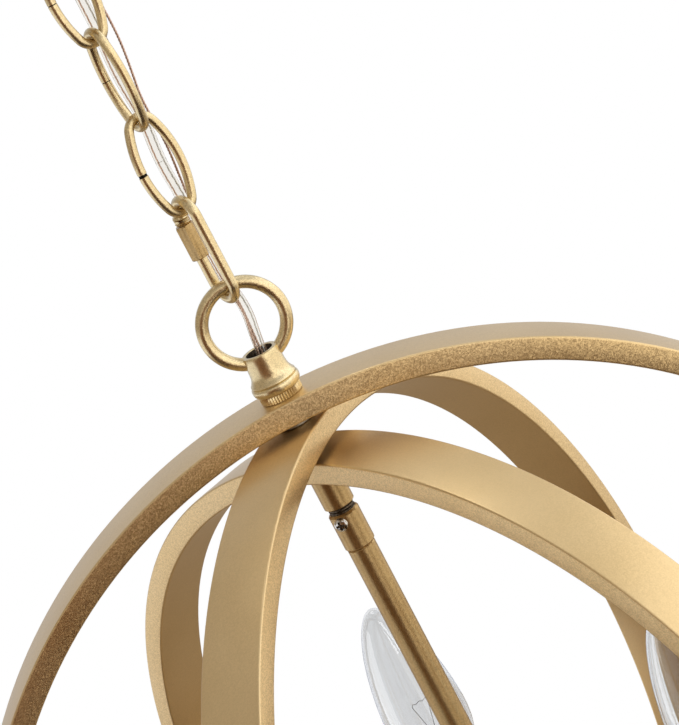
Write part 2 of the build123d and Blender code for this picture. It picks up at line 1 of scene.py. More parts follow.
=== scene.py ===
# %% [markdown]
# A chandelier of three flat hoops, nested inside each other on one upright axis, hangs on a short
# chain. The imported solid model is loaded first. It is the frame that every piece below is fitted to,
# so all sizes are those of the real lamp. Lengths are typed in millimetres, as on a workshop drawing,
# and MM turns them into the metres that Blender counts in.

# %% Load the frame
import math

import bmesh
import bpy
import numpy as np
from mathutils import Matrix, Vector


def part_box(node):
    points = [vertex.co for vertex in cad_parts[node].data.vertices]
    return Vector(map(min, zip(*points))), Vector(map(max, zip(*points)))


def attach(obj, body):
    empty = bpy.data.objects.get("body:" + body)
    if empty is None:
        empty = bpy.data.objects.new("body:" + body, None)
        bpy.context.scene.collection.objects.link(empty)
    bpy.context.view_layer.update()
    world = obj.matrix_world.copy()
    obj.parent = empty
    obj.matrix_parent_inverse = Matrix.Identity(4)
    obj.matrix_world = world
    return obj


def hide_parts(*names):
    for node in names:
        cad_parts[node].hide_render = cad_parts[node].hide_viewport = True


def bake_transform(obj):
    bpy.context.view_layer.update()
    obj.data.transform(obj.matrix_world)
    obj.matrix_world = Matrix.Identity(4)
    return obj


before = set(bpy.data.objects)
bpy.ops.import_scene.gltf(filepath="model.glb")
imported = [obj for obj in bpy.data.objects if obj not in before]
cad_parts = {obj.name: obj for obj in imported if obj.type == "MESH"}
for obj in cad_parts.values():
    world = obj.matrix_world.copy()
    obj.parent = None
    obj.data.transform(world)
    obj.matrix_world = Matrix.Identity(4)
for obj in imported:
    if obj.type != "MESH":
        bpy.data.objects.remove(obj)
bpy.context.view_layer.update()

MM = 0.001
CENTRE = -449.3 * MM
NEARLY_ZERO = 1e-6

# %% [markdown]
# The camera stands in front of the lamp, about half a metre above the middle of the hoops, and looks
# down a little. The picture is rolled so that the chain leans to the left. One could turn a camera by
# eye until the hoops look right, but three circles at three angles don't forgive that. So its place
# and its directions were worked out from the outlines of the hoops in the photograph, and they go
# straight into the camera's matrix.

# %% Camera
EYE = Vector((0.0, -0.9259, 0.4785 + CENTRE))
TO_THE_RIGHT = Vector((0.8842, -0.1536, -0.4411))
TO_THE_BACK = Vector((-0.0247, -0.9584, 0.2843))

camera = bpy.data.objects.new("camera", bpy.data.cameras.new("camera"))
bpy.context.collection.objects.link(camera)
camera.data.lens = 132.36
camera.data.sensor_width = 36.0
camera.data.clip_start = 0.01
back = TO_THE_BACK.normalized()
up = back.cross(TO_THE_RIGHT.normalized()).normalized()
right = up.cross(back)
camera.matrix_world = Matrix.Translation(EYE) @ Matrix((right, up, back)).transposed().to_4x4()
bpy.context.scene.camera = camera
bpy.context.scene.view_settings.view_transform = "Standard"
print("camera height over the hoop centre", round(EYE.z - CENTRE, 3))

# %% [markdown]
# Materials and Geometry Nodes trees are both made of nodes, which one could also place and wire by
# hand in Blender's editors. In a script one small function is enough: it adds a node to any tree,
# sets its options and fills or links its inputs. A node given as an input stands for its first
# output. Colours are written as the hex values that one would read off a screen, and a second
# function makes them linear.

# %% Node and colour helpers
def add(tree, kind, inputs=None, stops=(), **settings):
    made = tree.nodes.new(kind)
    for name, value in settings.items():
        setattr(made, name, value)
    for key, value in (inputs or {}).items():
        for item in value if isinstance(value, list) else [value]:
            source = item.outputs[0] if isinstance(item, bpy.types.Node) else item
            if isinstance(source, bpy.types.NodeSocket):
                tree.links.new(source, made.inputs[key])
            else:
                made.inputs[key].default_value = item
    for i, (place, code) in enumerate(stops):
        elements = made.color_ramp.elements
        stop = elements[i] if i < len(elements) else elements.new(place)
        stop.position, stop.color = place, colour(code)
    return made


def colour(code):
    channels = [int(code[i:i + 2], 16) / 255 for i in (1, 3, 5)]
    linear = [c / 12.92 if c <= 0.04045 else ((c + 0.055) / 1.055) ** 2.4 for c in channels]
    return (*linear, 1.0)


def new_material(name):
    material = bpy.data.materials.new(name)
    material.use_nodes = True
    material.node_tree.nodes.clear()
    return material, material.node_tree


WHITE = colour("#FFFFFF")
print("linear white", WHITE)

# %% [markdown]
# The lamp hangs in a white room. A floor could be lit until it turns white, but so much light would
# bleach the gold as well. So the floor and the world simply look white to the camera, in reflections
# and through glass, and give a plainer light to everything else.

# %% White floor and world
def see_white(tree, lit, white):
    path = add(tree, "ShaderNodeLightPath").outputs
    seen = path["Is Camera Ray"]
    for ray in ("Is Glossy Ray", "Is Transmission Ray"):
        seen = add(tree, "ShaderNodeMath", {0: seen, 1: path[ray]}, operation="MAXIMUM")
    return add(tree, "ShaderNodeMixShader", {0: seen, 1: lit, 2: white})


def stage_sheet(name, material, corners):
    mesh = bpy.data.meshes.new(name)
    mesh.from_pydata(corners, [], [(0, 1, 2, 3)])
    mesh.materials.append(material)
    sheet = bpy.data.objects.new(name, mesh)
    bpy.context.collection.objects.link(sheet)
    return sheet


def lying(left, right, front, back, height):
    return [(x, y, height) for x, y in ((left, front), (right, front), (right, back), (left, back))]


world = bpy.data.worlds.new("white_room")
bpy.context.scene.world = world
world.use_nodes = True
tree = world.node_tree
tree.nodes.clear()
room_light = add(tree, "ShaderNodeBackground", {"Color": WHITE, "Strength": 0.55})
room_white = add(tree, "ShaderNodeBackground", {"Color": WHITE, "Strength": 1.0})
add(tree, "ShaderNodeOutputWorld", {"Surface": see_white(tree, room_light, room_white)})

# Matt floor paint, so that the floor looks like plain white paper.
floor_paint, tree = new_material("pale_floor_paint")
matt = add(tree, "ShaderNodeBsdfDiffuse", {"Color": colour("#F2F1EE")})
white = add(tree, "ShaderNodeEmission", {"Color": WHITE, "Strength": 1.0})
add(tree, "ShaderNodeOutputMaterial", {"Surface": see_white(tree, matt, white)})
stage_sheet("floor", floor_paint, lying(-6, 6, -6, 6, -1.5))
print("floor and world ready")

# %% [markdown]
# Satin metal is mostly a blurred picture of what stands round it, and a few bare lamps would leave
# most of it dark. So a tent of soft studio walls stands round the lamp, and the camera and the clear
# glass look past it. The tones of the walls were chosen by where each face of the hoops looks: bright
# on the right, a dim floor, and a dark brown screen and cloth in front and to the left. The screen is
# what gives the stem, the loop and the links their brown stripe.

# %% Studio walls
LEFT, RIGHT, FRONT, BACK, LOW, HIGH = -2.2, 2.2, -2.6, 2.4, -1.45, 1.6
SCREEN_END, SCREEN_TOP = 0.35, 0.5
SIDE_END, SIDE_TOP = -1.3, -0.35
TOP_SEAM = 0.4


def standing(start, end, low, high):
    return [(*start, low), (*end, low), (*end, high), (*start, high)]


def studio_wall(name, tone, strength, corners, sharp_only=False):
    cloth, tree = new_material(name + "_cloth")
    light = add(tree, "ShaderNodeEmission", {"Color": colour(tone), "Strength": strength})
    if sharp_only:
        sharp = add(tree, "ShaderNodeLightPath").outputs["Is Singular Ray"]
        clear = add(tree, "ShaderNodeBsdfTransparent")
        light = add(tree, "ShaderNodeMixShader", {0: sharp, 1: clear, 2: light})
    add(tree, "ShaderNodeOutputMaterial", {"Surface": light})
    wall = stage_sheet(name, cloth, corners)
    wall.visible_camera = False
    wall.visible_transmission = False


screen = (LEFT, FRONT), (SCREEN_END, FRONT)
studio_wall("back_wall", "#ECF1FF", 0.75, standing((LEFT, BACK), (RIGHT, BACK), LOW, HIGH))
studio_wall("front_dark_wall", "#BE7430", 0.3, standing(*screen, LOW, SCREEN_TOP))
studio_wall("front_high_wall", "#FFF6EA", 0.8, standing(*screen, SCREEN_TOP, HIGH))
studio_wall("front_right_wall", "#FFFAF2", 1.5, standing((SCREEN_END, FRONT), (RIGHT, FRONT), LOW, HIGH))
studio_wall("left_dark_wall", "#BE7430", 0.4, standing((LEFT, FRONT), (LEFT, SIDE_END), LOW, SIDE_TOP))
studio_wall("left_low_wall", "#F8FAFF", 1.15, standing((LEFT, SIDE_END), (LEFT, BACK), LOW, SIDE_TOP))
studio_wall("left_high_wall", "#FFF0DC", 0.42, standing((LEFT, FRONT), (LEFT, BACK), SIDE_TOP, HIGH))
studio_wall("right_low_wall", "#FFFAF0", 1.2, standing((RIGHT, FRONT), (RIGHT, BACK), LOW, 0.0))
studio_wall("right_high_wall", "#FFFFFF", 1.55, standing((RIGHT, FRONT), (RIGHT, BACK), 0.0, HIGH))
studio_wall("top_left_wall", "#FFF6EA", 0.45, lying(LEFT, TOP_SEAM, FRONT, BACK, HIGH))
studio_wall("top_right_wall", "#FFFFFF", 0.75, lying(TOP_SEAM, RIGHT, FRONT, BACK, HIGH))
studio_wall("dim_floor", "#FFE8CC", 0.34, lying(LEFT, RIGHT, FRONT, BACK, LOW))
studio_wall("dark_cloth", "#8A4A12", 0.05, lying(LEFT, 0.5, FRONT, -0.3, LOW + 0.01))
print("studio walls ready")

# %% [markdown]
# Clear glass needs small bright things to mirror. Plain softboxes near the lamp would give the bulbs
# their streaks, but they would also light the metal too much. So three softboxes here show only in
# perfectly sharp reflections, which the Is Singular Ray output tells from the rest, and satin metal
# doesn't see them. One weak lamp adds a soft light from above.

# %% Softboxes and window
NEARER = 0.05
WINDOW_PLACE, WINDOW_AIM = Vector((0.1, 0.3, 1.2)), Vector((0.0, 0.0, -0.4))

left_side = standing((LEFT + NEARER, -0.4), (LEFT + NEARER, 1.2), -1.2, 0.5)
front_side = standing((0.6, FRONT + NEARER), (1.7, FRONT + NEARER), 0.2, HIGH)
ceiling_corners = (0.6, FRONT + NEARER), (1.7, FRONT + NEARER), (1.2, -1.2), (0.4, -1.2)
ceiling_side = [(*corner, HIGH - NEARER) for corner in ceiling_corners]
studio_wall("left_softbox", "#FFFFFF", 3.2, left_side, sharp_only=True)
studio_wall("front_softbox", "#FFFFFF", 6.0, front_side, sharp_only=True)
studio_wall("high_softbox", "#FFFFFF", 6.0, ceiling_side, sharp_only=True)

lamp = bpy.data.lights.new("top_window", "AREA")
lamp.shape = "RECTANGLE"
lamp.size, lamp.size_y = 0.8, 0.6
lamp.energy = 4
window = bpy.data.objects.new("top_window", lamp)
bpy.context.collection.objects.link(window)
turn_to_aim = (WINDOW_AIM - WINDOW_PLACE).to_track_quat("-Z", "Y")
window.matrix_world = Matrix.Translation(WINDOW_PLACE) @ turn_to_aim.to_matrix().to_4x4()
print("softboxes and window ready")

# %% [markdown]
# Nearly all of the lamp is steel under a satin gold paint. The paint holds tiny metal flakes, so it
# glitters. A picture of such paint would stretch round the bars and blur close up, so nodes work it
# out at each point instead. Voronoi cells about 0.4 mm wide stand for the flakes: each is a little
# lighter or darker than the paint and leans a little its own way. Real flakes are finer, but they
# wouldn't show in the picture. A slow noise varies the coat as a spray gun does.

# %% Gold paint
CLOUD_MM = 45


def gold_paint(name, tones, flake_mm, tilt, speckle, base_roughness):
    material, tree = new_material(name)
    place = add(tree, "ShaderNodeTexCoord").outputs["Object"]
    cells = {"Vector": place, "Scale": 1 / (flake_mm * MM)}
    flakes = add(tree, "ShaderNodeTexVoronoi", cells).outputs["Color"]
    clouds = {"Vector": place, "Scale": 1 / (CLOUD_MM * MM), "Detail": 3.0}
    coat = add(tree, "ShaderNodeTexNoise", clouds)
    base = add(tree, "ShaderNodeValToRGB", {"Fac": coat}, stops=tones)
    chance = add(tree, "ShaderNodeSeparateXYZ", {0: flakes})
    shine = add(tree, "ShaderNodeMath", {0: chance, 1: 2 * speckle, 2: 1 - speckle}, operation="MULTIPLY_ADD")
    glint = add(tree, "ShaderNodeVectorMath", {0: base, "Scale": shine}, operation="SCALE")
    wear = {0: coat, 1: 0.1, 2: base_roughness - 0.05}
    rough = add(tree, "ShaderNodeMath", wear, operation="MULTIPLY_ADD")
    lean = add(tree, "ShaderNodeVectorMath", {0: flakes, 1: (0.5, 0.5, 0.5)}, operation="SUBTRACT")
    flat = add(tree, "ShaderNodeNewGeometry").outputs["Normal"]
    tilted = {0: lean, 1: (tilt, tilt, tilt), 2: flat}
    leaning = add(tree, "ShaderNodeVectorMath", tilted, operation="MULTIPLY_ADD")
    facing = add(tree, "ShaderNodeVectorMath", {0: leaning}, operation="NORMALIZE")
    paint = add(tree, "ShaderNodeBsdfPrincipled", {
        "Base Color": glint, "Metallic": 0.95, "Roughness": rough, "Normal": facing,
        "Coat Weight": 0.15, "Coat Roughness": 0.4})
    add(tree, "ShaderNodeOutputMaterial", {"Surface": paint})
    return material


print("clouds in the coat", CLOUD_MM, "mm wide")

# %% [markdown]
# The same paint looks different on rolled faces, cut edges, small hardware and tubes. One material for
# all of them would look like plastic, so each has its own tones, flakes and roughness, compared with
# the photograph.

# %% Four gold finishes
band_tones = [(0.3, "#DDC08D"), (0.7, "#E5CA9A")]
hardware_tones = [(0.3, "#DCC799"), (0.7, "#E8D5AA")]
# The tube tones are darker partly as painted shade.
tube_tones = [(0.3, "#B99A68"), (0.7, "#C7AA78")]
# Broad faces have an even coat, so light fades softly along them with hardly a sparkle.
band_paint = gold_paint("satin_gold_flake_paint", band_tones, 0.4, 0.05, 0.04, 0.38)
# The cut edges stay rough under the same paint, so they look sandy and glitter.
edge_paint = gold_paint("satin_gold_flake_paint_on_cut_edges", band_tones, 0.4, 0.12, 0.16, 0.4)
# Chain and loops are the palest and smoothest gold, with a bright grain in their lights.
hardware_paint = gold_paint("satin_gold_plated_steel", hardware_tones, 0.36, 0.08, 0.16, 0.3)
# The tubes are a deeper, browner gold, with a dark stripe down their side. Part of that darker tone
# is painted shade, the shade that the hoops cast on the stem, and every piece in this paint shares it.
tube_paint = gold_paint("satin_gold_paint_on_tubes", tube_tones, 0.42, 0.04, 0.13, 0.36)
print("gold paints", band_paint.name, edge_paint.name, hardware_paint.name, tube_paint.name)

# %% [markdown]
# Threads, washers, nuts, the small screw, the wires and the lamp caps are bare or plated metal. One
# plain grey could stand for them all, but each has its own tone and polish. A fine noise, half a
# millimetre to two millimetres wide, varies both a little, as handling and air do.

# %% Bare and plated metals
def plain_metal(name, dark, light, roughness, grain_mm):
    material, tree = new_material(name)
    place = add(tree, "ShaderNodeTexCoord").outputs["Object"]
    spots = {"Vector": place, "Scale": 1 / (grain_mm * MM), "Detail": 4.0}
    grain = add(tree, "ShaderNodeTexNoise", spots)
    base = add(tree, "ShaderNodeValToRGB", {"Fac": grain}, stops=[(0.3, dark), (0.7, light)])
    rough = add(tree, "ShaderNodeMath", {0: grain, 1: 0.2, 2: roughness - 0.1}, operation="MULTIPLY_ADD")
    metal = add(tree, "ShaderNodeBsdfPrincipled", {"Base Color": base, "Metallic": 1.0, "Roughness": rough})
    add(tree, "ShaderNodeOutputMaterial", {"Surface": metal})
    return material


# Dull pale grey with soft clouds.
zinc_steel = plain_metal("zinc_plated_steel", "#8C8B86", "#B9B8B2", 0.38, 2.0)
# Oil darkens the bare thread, so it looks nearly black between the gold pieces. The same steel is
# given to the loops' bores, and as painted shade to the inside of the screw's cross recess.
dark_thread_steel_and_recess_shade = plain_metal("oiled_thread_steel_and_painted_recess_shade", "#4C453D", "#857A6C", 0.4, 0.8)
# Painted shade in the gap of a link's joint, over the dark raw steel of the cut ends: a thin dark
# line where the ends of a link meet.
joint_shade_and_raw_ends = plain_metal("painted_joint_shade_and_raw_wire_ends", "#1C1814", "#332B24", 0.6, 0.8)
# Small cold lights, the only ones among the gold.
bright_screw = plain_metal("nickel_plated_screw", "#C9C9C6", "#F0F0EE", 0.2, 1.0)
# A dusty pink, dulled by air.
bare_copper = plain_metal("bare_twisted_copper", "#BFA091", "#E2C7B8", 0.4, 1.5)
# A fresh pale pink line in one half of the cord.
bright_copper = plain_metal("bright_copper", "#E3BFA8", "#F4DACA", 0.4, 1.5)
# A silvery line in the other half.
tinned_copper = plain_metal("tinned_copper", "#DAD8D2", "#F2F0EA", 0.4, 1.0)
# Soft yellow lights on each rolled thread.
cap_brass = plain_metal("nickel_brass_cap", "#A8945E", "#D3C089", 0.3, 2.0)
# A grey hair line inside the bulb.
tungsten = plain_metal("tungsten_wire", "#8E8D8B", "#B9B8B5", 0.4, 0.5)
print("metals ready, materials so far", len(bpy.data.materials))

# %% [markdown]
# The cord's skin is soft PVC, and the bulbs are blown soda glass. Both could be a mix of a transparent
# and a glossy shader, which is quick, but then nothing seen through them would bend. So both are
# solid and let light through with their usual IOR. A faint ripple stands for the uneven surface.

# %% Clear plastic and glass
def clear_stuff(name, tint, ior, roughness, ripple_mm, ripple):
    material, tree = new_material(name)
    place = add(tree, "ShaderNodeTexCoord").outputs["Object"]
    ripples = {"Vector": place, "Scale": 1 / (ripple_mm * MM), "Detail": 2.0}
    waves = add(tree, "ShaderNodeTexNoise", ripples)
    bend = add(tree, "ShaderNodeBump", {"Height": waves, "Strength": ripple, "Distance": 0.2 * MM})
    glass = add(tree, "ShaderNodeBsdfPrincipled", {
        "Base Color": colour(tint), "Roughness": roughness, "IOR": ior,
        "Transmission Weight": 1.0, "Normal": bend})
    add(tree, "ShaderNodeOutputMaterial", {"Surface": glass})
    return material


# Soft and a little cloudy, so the strands inside look blurred.
cord_pvc = clear_stuff("clear_soft_pvc", "#F4F1EA", 1.5, 0.12, 4.0, 0.1)
# Light grey against the white room, darker at the rim, with sharp streaks of light.
bulb_glass = clear_stuff("blown_soda_glass", "#E8E9EA", 1.5, 0.0, 12.0, 0.02)
print("clear stuff", cord_pvc.name, bulb_glass.name)

# %% [markdown]
# The lampholders are moulded black phenolic, and the ground screw has a coat of green paint. A single
# flat tone would look like card, so both get two near tones and a fine skin that breaks up their shine.

# %% Mouldings and screw paint
def moulded(name, dark, light, roughness, grain_mm):
    material, tree = new_material(name)
    place = add(tree, "ShaderNodeTexCoord").outputs["Object"]
    spots = {"Vector": place, "Scale": 1 / (grain_mm * MM), "Detail": 3.0}
    grain = add(tree, "ShaderNodeTexNoise", spots)
    base = add(tree, "ShaderNodeValToRGB", {"Fac": grain}, stops=[(0.35, dark), (0.65, light)])
    skin = add(tree, "ShaderNodeBump", {"Height": grain, "Strength": 0.1, "Distance": 0.05 * MM})
    plastic = add(tree, "ShaderNodeBsdfPrincipled", {
        "Base Color": base, "Roughness": roughness, "Normal": skin})
    add(tree, "ShaderNodeOutputMaterial", {"Surface": plastic})
    return material


# Black with a faint broad sheen.
black_phenolic = moulded("black_phenolic", "#121110", "#1E1C1A", 0.35, 0.8)
# A flat green that marks the ground screw.
green_paint = moulded("green_screw_paint", "#14502A", "#1C6637", 0.4, 0.6)
print("mouldings", black_phenolic.name, green_paint.name)

# %% [markdown]
# The clear power cord and the bare ground wire hang beside the chain from the canopy's loop to the
# lamp's loop. Straight runs with rounded corners would look like bent wire, so the points of the solid
# model's routes become the control points of a smooth NURBS line. A few points near the quick link are
# moved, by some millimetres, to follow the photograph and to stay clear of the link's sleeve.

# %% Cord routes
def nurbs_points(name, route):
    curve = bpy.data.curves.new(name, "CURVE")
    curve.dimensions = "3D"
    curve.resolution_u = 16
    spline = curve.splines.new("NURBS")
    spline.points.add(len(route) - 1)
    for control, (x, y, z) in zip(spline.points, route):
        control.co = (x * MM, y * MM, z * MM, 1.0)
    spline.order_u = 3
    spline.use_endpoint_u = True
    holder = bpy.data.objects.new(name, curve)
    bpy.context.collection.objects.link(holder)
    graph = bpy.context.evaluated_depsgraph_get()
    line = bpy.data.meshes.new_from_object(holder.evaluated_get(graph), depsgraph=graph)
    points = np.array([v.co for v in line.vertices])
    bpy.data.objects.remove(holder)
    keep = np.r_[True, np.linalg.norm(np.diff(points, axis=0), axis=1) > NEARLY_ZERO]
    return points[keep]


power_line = nurbs_points("power_route", [
    (0.0, 0.2, -35.5), (0.3, 0.6, -44.5), (1.6, 3.4, -55.5), (2.9, 6.0, -67.0), (2.5, 5.2, -83.5),
    (2.4, 5.8, -100.0), (1.1, 4.9, -117.0), (2.3, 6.0, -133.7), (0.3, 5.6, -150.5),
    (1.3, 9.4, -167.2), (0.9, 11.4, -184.0), (1.4, 8.8, -201.6), (3.2, 4.4, -212.5),
    (1.2, 1.1, -223.5), (0.3, 0.2, -233.0)])
ground_line = nurbs_points("ground_route", [
    (0.4, 3.0, -35.5), (0.7, 3.5, -44.5), (3.6, 6.9, -55.0), (6.4, 9.3, -67.0), (7.5, 8.7, -82.0),
    (7.9, 8.3, -97.0), (7.7, 8.0, -107.0), (6.3, 7.9, -118.0), (4.9, 8.2, -127.0),
    (5.0, 8.4, -137.0), (5.2, 7.4, -147.0), (4.2, 8.8, -157.5), (3.4, 11.6, -167.0),
    (1.5, 13.5, -178.0), (1.2, 13.5, -190.0), (1.5, 11.2, -201.5), (2.0, 7.0, -212.5),
    (1.0, 3.9, -223.5), (0.6, 3.0, -233.0)])
print("route points", len(power_line), len(ground_line))

# %% [markdown]
# Inside a cord, thin strands are twisted round each other. A curve with a round bevel would make one
# smooth wire, so each strand is a tube of its own that circles round the middle of its core as the line
# goes on. The same tube maker carries any outline along a line, so it makes the cord's skin as well.

# %% Tubes and strands
def tube_along(line, across, outward, outline):
    verts, faces = [], []
    n = len(outline)
    for p, a, o in zip(line, across, outward):
        verts += [tuple(p + a * u * MM + o * v * MM) for u, v in outline]
    for i in range(len(line) - 1):
        for k in range(n):
            here, after = i * n + k, i * n + (k + 1) % n
            faces.append((here, after, after + n, here + n))
    faces.append(tuple(range(n))[::-1])
    faces.append(tuple((len(line) - 1) * n + k for k in range(n)))
    return verts, faces


def strand(line, across, outward, x, turn_mm, lay_radius, radius, phase, walked):
    angle = 2 * math.pi * walked / (turn_mm * MM) + phase
    sideways = across * (x + lay_radius * np.cos(angle))[:, None] * MM
    outwards = outward * (lay_radius * np.sin(angle))[:, None] * MM
    sides = [2 * math.pi * k / 8 for k in range(8)]
    section = [(radius * math.cos(a), radius * math.sin(a)) for a in sides]
    return tube_along(line + sideways + outwards, across, outward, section)


print("cord helpers ready")

# %% [markdown]
# The power cord is two round cores side by side in soft PVC. One has tinned and one has bare copper
# strands. An oval skin would hide the waist between them, so its outline is two circles that flow into
# each other. The ground wire is three thicker strands without a skin.

# %% Dressing the cords
THIRD_TURN = 2.094
CORE_RADIUS = 1.05


def figure_eight(radius, count=28):
    points = []
    for k in range(count):
        a = 2 * math.pi * k / count
        reach = abs(math.cos(a))
        side = math.copysign(reach ** 0.35, math.cos(a))
        waist = 0.86 + 0.14 * reach ** 0.5
        points.append((radius * math.cos(a) + radius * side, radius * math.sin(a) * waist))
    return points


def dress_power(line, across, outward, walked):
    parts = [(tube_along(line, across, outward, figure_eight(CORE_RADIUS)), 0)]
    for side, slot in ((-CORE_RADIUS, 1), (CORE_RADIUS, 2)):
        for k in range(3):
            wire = strand(line, across, outward, side, 9.0, 0.16, 0.12, k * THIRD_TURN, walked)
            parts.append((wire, slot))
    return parts


def dress_ground(line, across, outward, walked):
    turns = [k * THIRD_TURN for k in range(3)]
    return [(strand(line, across, outward, 0.0, 4.0, 0.27, 0.24, turn, walked), 0) for turn in turns]


print("points round the cord's skin", len(figure_eight(CORE_RADIUS)))

# %% [markdown]
# At each point of its line a cord needs one direction across and one outwards, or its skin would twist
# at random. Both are taken from the way the line runs and the way to the front, so the two cores lie
# side by side as seen from there. The tubes are then put into one mesh, each with its own material.

# %% Directions and meshes of the cords
STRAND_CORNER = math.radians(50)


def smoothed(mesh, corner):
    mesh.shade_smooth()
    mesh.set_sharp_from_angle(angle=corner)
    return mesh


def cord_mesh(name, parts, materials):
    verts, faces, slots = [], [], []
    for (v, f), slot in parts:
        start = len(verts)
        verts += v
        faces += [tuple(i + start for i in face) for face in f]
        slots += [slot] * len(f)
    mesh = bpy.data.meshes.new(name)
    mesh.from_pydata(verts, [], faces)
    for material in materials:
        mesh.materials.append(material)
    mesh.polygons.foreach_set("material_index", slots)
    return smoothed(mesh, STRAND_CORNER)


def frames_along(line):
    ahead = np.gradient(line, axis=0)
    ahead /= np.linalg.norm(ahead, axis=1)[:, None]
    across = np.cross(ahead, (0.0, -1.0, 0.0))
    across /= np.linalg.norm(across, axis=1)[:, None]
    return across, np.cross(ahead, across)


print("directions at the top of the power cord", [side[0].round(2) for side in frames_along(power_line)])

# %% [markdown]
# A real cord bends a little at each link that moves. One long mesh could follow only two bodies, so
# both cords are cut at the middle of each link.

# %% Cord stretches
BEND_LEVELS = [-68.85, -101.85, -135.55, -169.25, -205.2]
CUT_LEVELS = [-83.1, -116.8, -150.5, -185.2]


def lay_cord(name, node, line, materials, dress):
    across, outward = frames_along(line)
    walked = np.r_[0, np.cumsum(np.linalg.norm(np.diff(line, axis=0), axis=1))]
    heights = line[:, 2] / MM
    cuts = [0] + [int(np.argmin(abs(heights - z))) for z in CUT_LEVELS] + [len(line) - 1]
    for i, bend in enumerate(BEND_LEVELS):
        part = slice(cuts[i], cuts[i + 1] + 1)
        parts = dress(line[part], across[part], outward[part], walked[part])
        mesh = cord_mesh(f"{name}_{i + 1}", parts, materials)
        piece = bpy.data.objects.new(mesh.name, mesh)
        bpy.context.collection.objects.link(piece)
        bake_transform(piece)
        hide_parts(node)
    print(name, "length", round(walked[-1], 4))


lay_cord("power_cord_run", "power_cord", power_line,
         [cord_pvc, tinned_copper, bright_copper], dress_power)
lay_cord("ground_wire_run", "ground_wire", ground_line,
         [bare_copper], dress_ground)

# %% [markdown]
# Links, rings, threads, knurls and hoops follow a path or repeat. Each could be modelled once and
# copied, but a Geometry Nodes tree keeps its sizes as named inputs, and one tree serves many pieces.
# It runs as a modifier on a helper object, the result is taken as a plain mesh, and the helper is
# thrown away.

# %% Geometry Nodes helpers
SOFT_CORNER = math.radians(32)


def new_tree(name, sockets):
    tree = bpy.data.node_groups.new(name, "GeometryNodeTree")
    for label, kind in sockets:
        tree.interface.new_socket(name=label, in_out="INPUT", socket_type=f"NodeSocket{kind}")
    tree.interface.new_socket(name="Result", in_out="OUTPUT", socket_type="NodeSocketGeometry")
    return tree, tree.nodes.new("NodeGroupInput").outputs


def close_tree(tree, geometry, material):
    real = add(tree, "GeometryNodeRealizeInstances", {"Geometry": geometry})
    painted = add(tree, "GeometryNodeSetMaterial", {"Geometry": real, "Material": material})
    add(tree, "NodeGroupOutput", {"Result": painted})
    print("tree", tree.name, "nodes", len(tree.nodes))


def grow(name, tree, base, **values):
    maker = bpy.data.objects.new(name + "_maker", base)
    bpy.context.collection.objects.link(maker)
    recipe = maker.modifiers.new("recipe", "NODES")
    recipe.node_group = tree
    for item in tree.interface.items_tree:
        if item.in_out == "INPUT" and item.name in values:
            recipe[item.identifier] = values[item.name]
    graph = bpy.context.evaluated_depsgraph_get()
    mesh = bpy.data.meshes.new_from_object(maker.evaluated_get(graph), depsgraph=graph)
    bpy.data.objects.remove(maker)
    mesh.name = name
    return smoothed(mesh, SOFT_CORNER)


print("edges look sharp from", round(math.degrees(SOFT_CORNER)), "degrees on")

# %% [markdown]
# Much of the lamp is round bar or wire that was bent: links, quick link, loop rings, arms and the
# wires in the bulbs. A curve with a bevel would do for one of them. A tree that carries a circle along
# a path and caps its ends does for all, with the thickness as an input. Paths are drawn flat, as one
# would chalk them on a bench, and then stood up and turned about the upright axis.

# %% Round bars
bar_tree, given = new_tree("bar_along_path", [
    ("Path", "Geometry"), ("Bar Diameter", "Float"), ("Sides", "Int"), ("Material", "Material")])
radius = add(bar_tree, "ShaderNodeMath", {0: given["Bar Diameter"], 1: 0.5}, operation="MULTIPLY")
section = add(bar_tree, "GeometryNodeCurvePrimitiveCircle", {"Resolution": given["Sides"], "Radius": radius})
bar = add(bar_tree, "GeometryNodeCurveToMesh", {
    "Curve": given["Path"], "Profile Curve": section, "Fill Caps": True})
close_tree(bar_tree, bar, given["Material"])


def round_bar(name, points, diameter, sides, material):
    curve = bpy.data.curves.new(name, "CURVE")
    curve.dimensions = "3D"
    spline = curve.splines.new("POLY")
    spline.points.add(len(points) - 1)
    for corner, (x, y, z) in zip(spline.points, points):
        corner.co = (x * MM, y * MM, z * MM, 1.0)
    sizes = {"Bar Diameter": diameter * MM, "Sides": sides, "Material": material}
    return grow(name, bar_tree, curve, **sizes)


def arc(x, z, radius, first, last, count):
    angles = [math.radians(first + (last - first) * i / count) for i in range(count + 1)]
    return [(x + radius * math.cos(a), z + radius * math.sin(a)) for a in angles]


def stood_up(flat, turn, height, at=(0.0, 0.0)):
    c, s = math.cos(math.radians(turn)), math.sin(math.radians(turn))
    points = [(at[0] + p * c, at[1] + p * s, height + q) for p, q in flat]
    steps = [(Vector(b) - Vector(a)).length for a, b in zip(points, points[1:])]
    return points[:1] + [point for point, step in zip(points[1:], steps) if step > NEARLY_ZERO]


# %% [markdown]
# Each finished mesh becomes an object that rides on the body that carries it, and it takes the place
# of its solid. Heights could all be typed, but most are read from the box of the solid, so that a
# piece can't drift away from its neighbours.

# %% Showing pieces
def levels(node):
    low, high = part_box(node)
    return low[2] / MM, high[2] / MM


def show(name, mesh, material, body, node):
    if material is not None:
        mesh.materials.clear()
        mesh.materials.append(material)
    piece = bpy.data.objects.new(name, mesh)
    bpy.context.collection.objects.link(piece)
    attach(piece, body)
    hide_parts(node)
    print(name, "faces", len(mesh.polygons))


def second_material(mesh, material, places):
    mesh.materials.append(material)
    mesh.polygons.foreach_set("material_index", [int(place) for place in places])


def finished(bm, name, corner=SOFT_CORNER):
    mesh = bpy.data.meshes.new(name)
    bm.to_mesh(mesh)
    bm.free()
    return smoothed(mesh, corner)


def joined(name, *meshes):
    bm = bmesh.new()
    for mesh in meshes:
        bm.from_mesh(mesh)
    return finished(bm, name)


print("lowest and highest level of the quick link", levels("quick_link"))
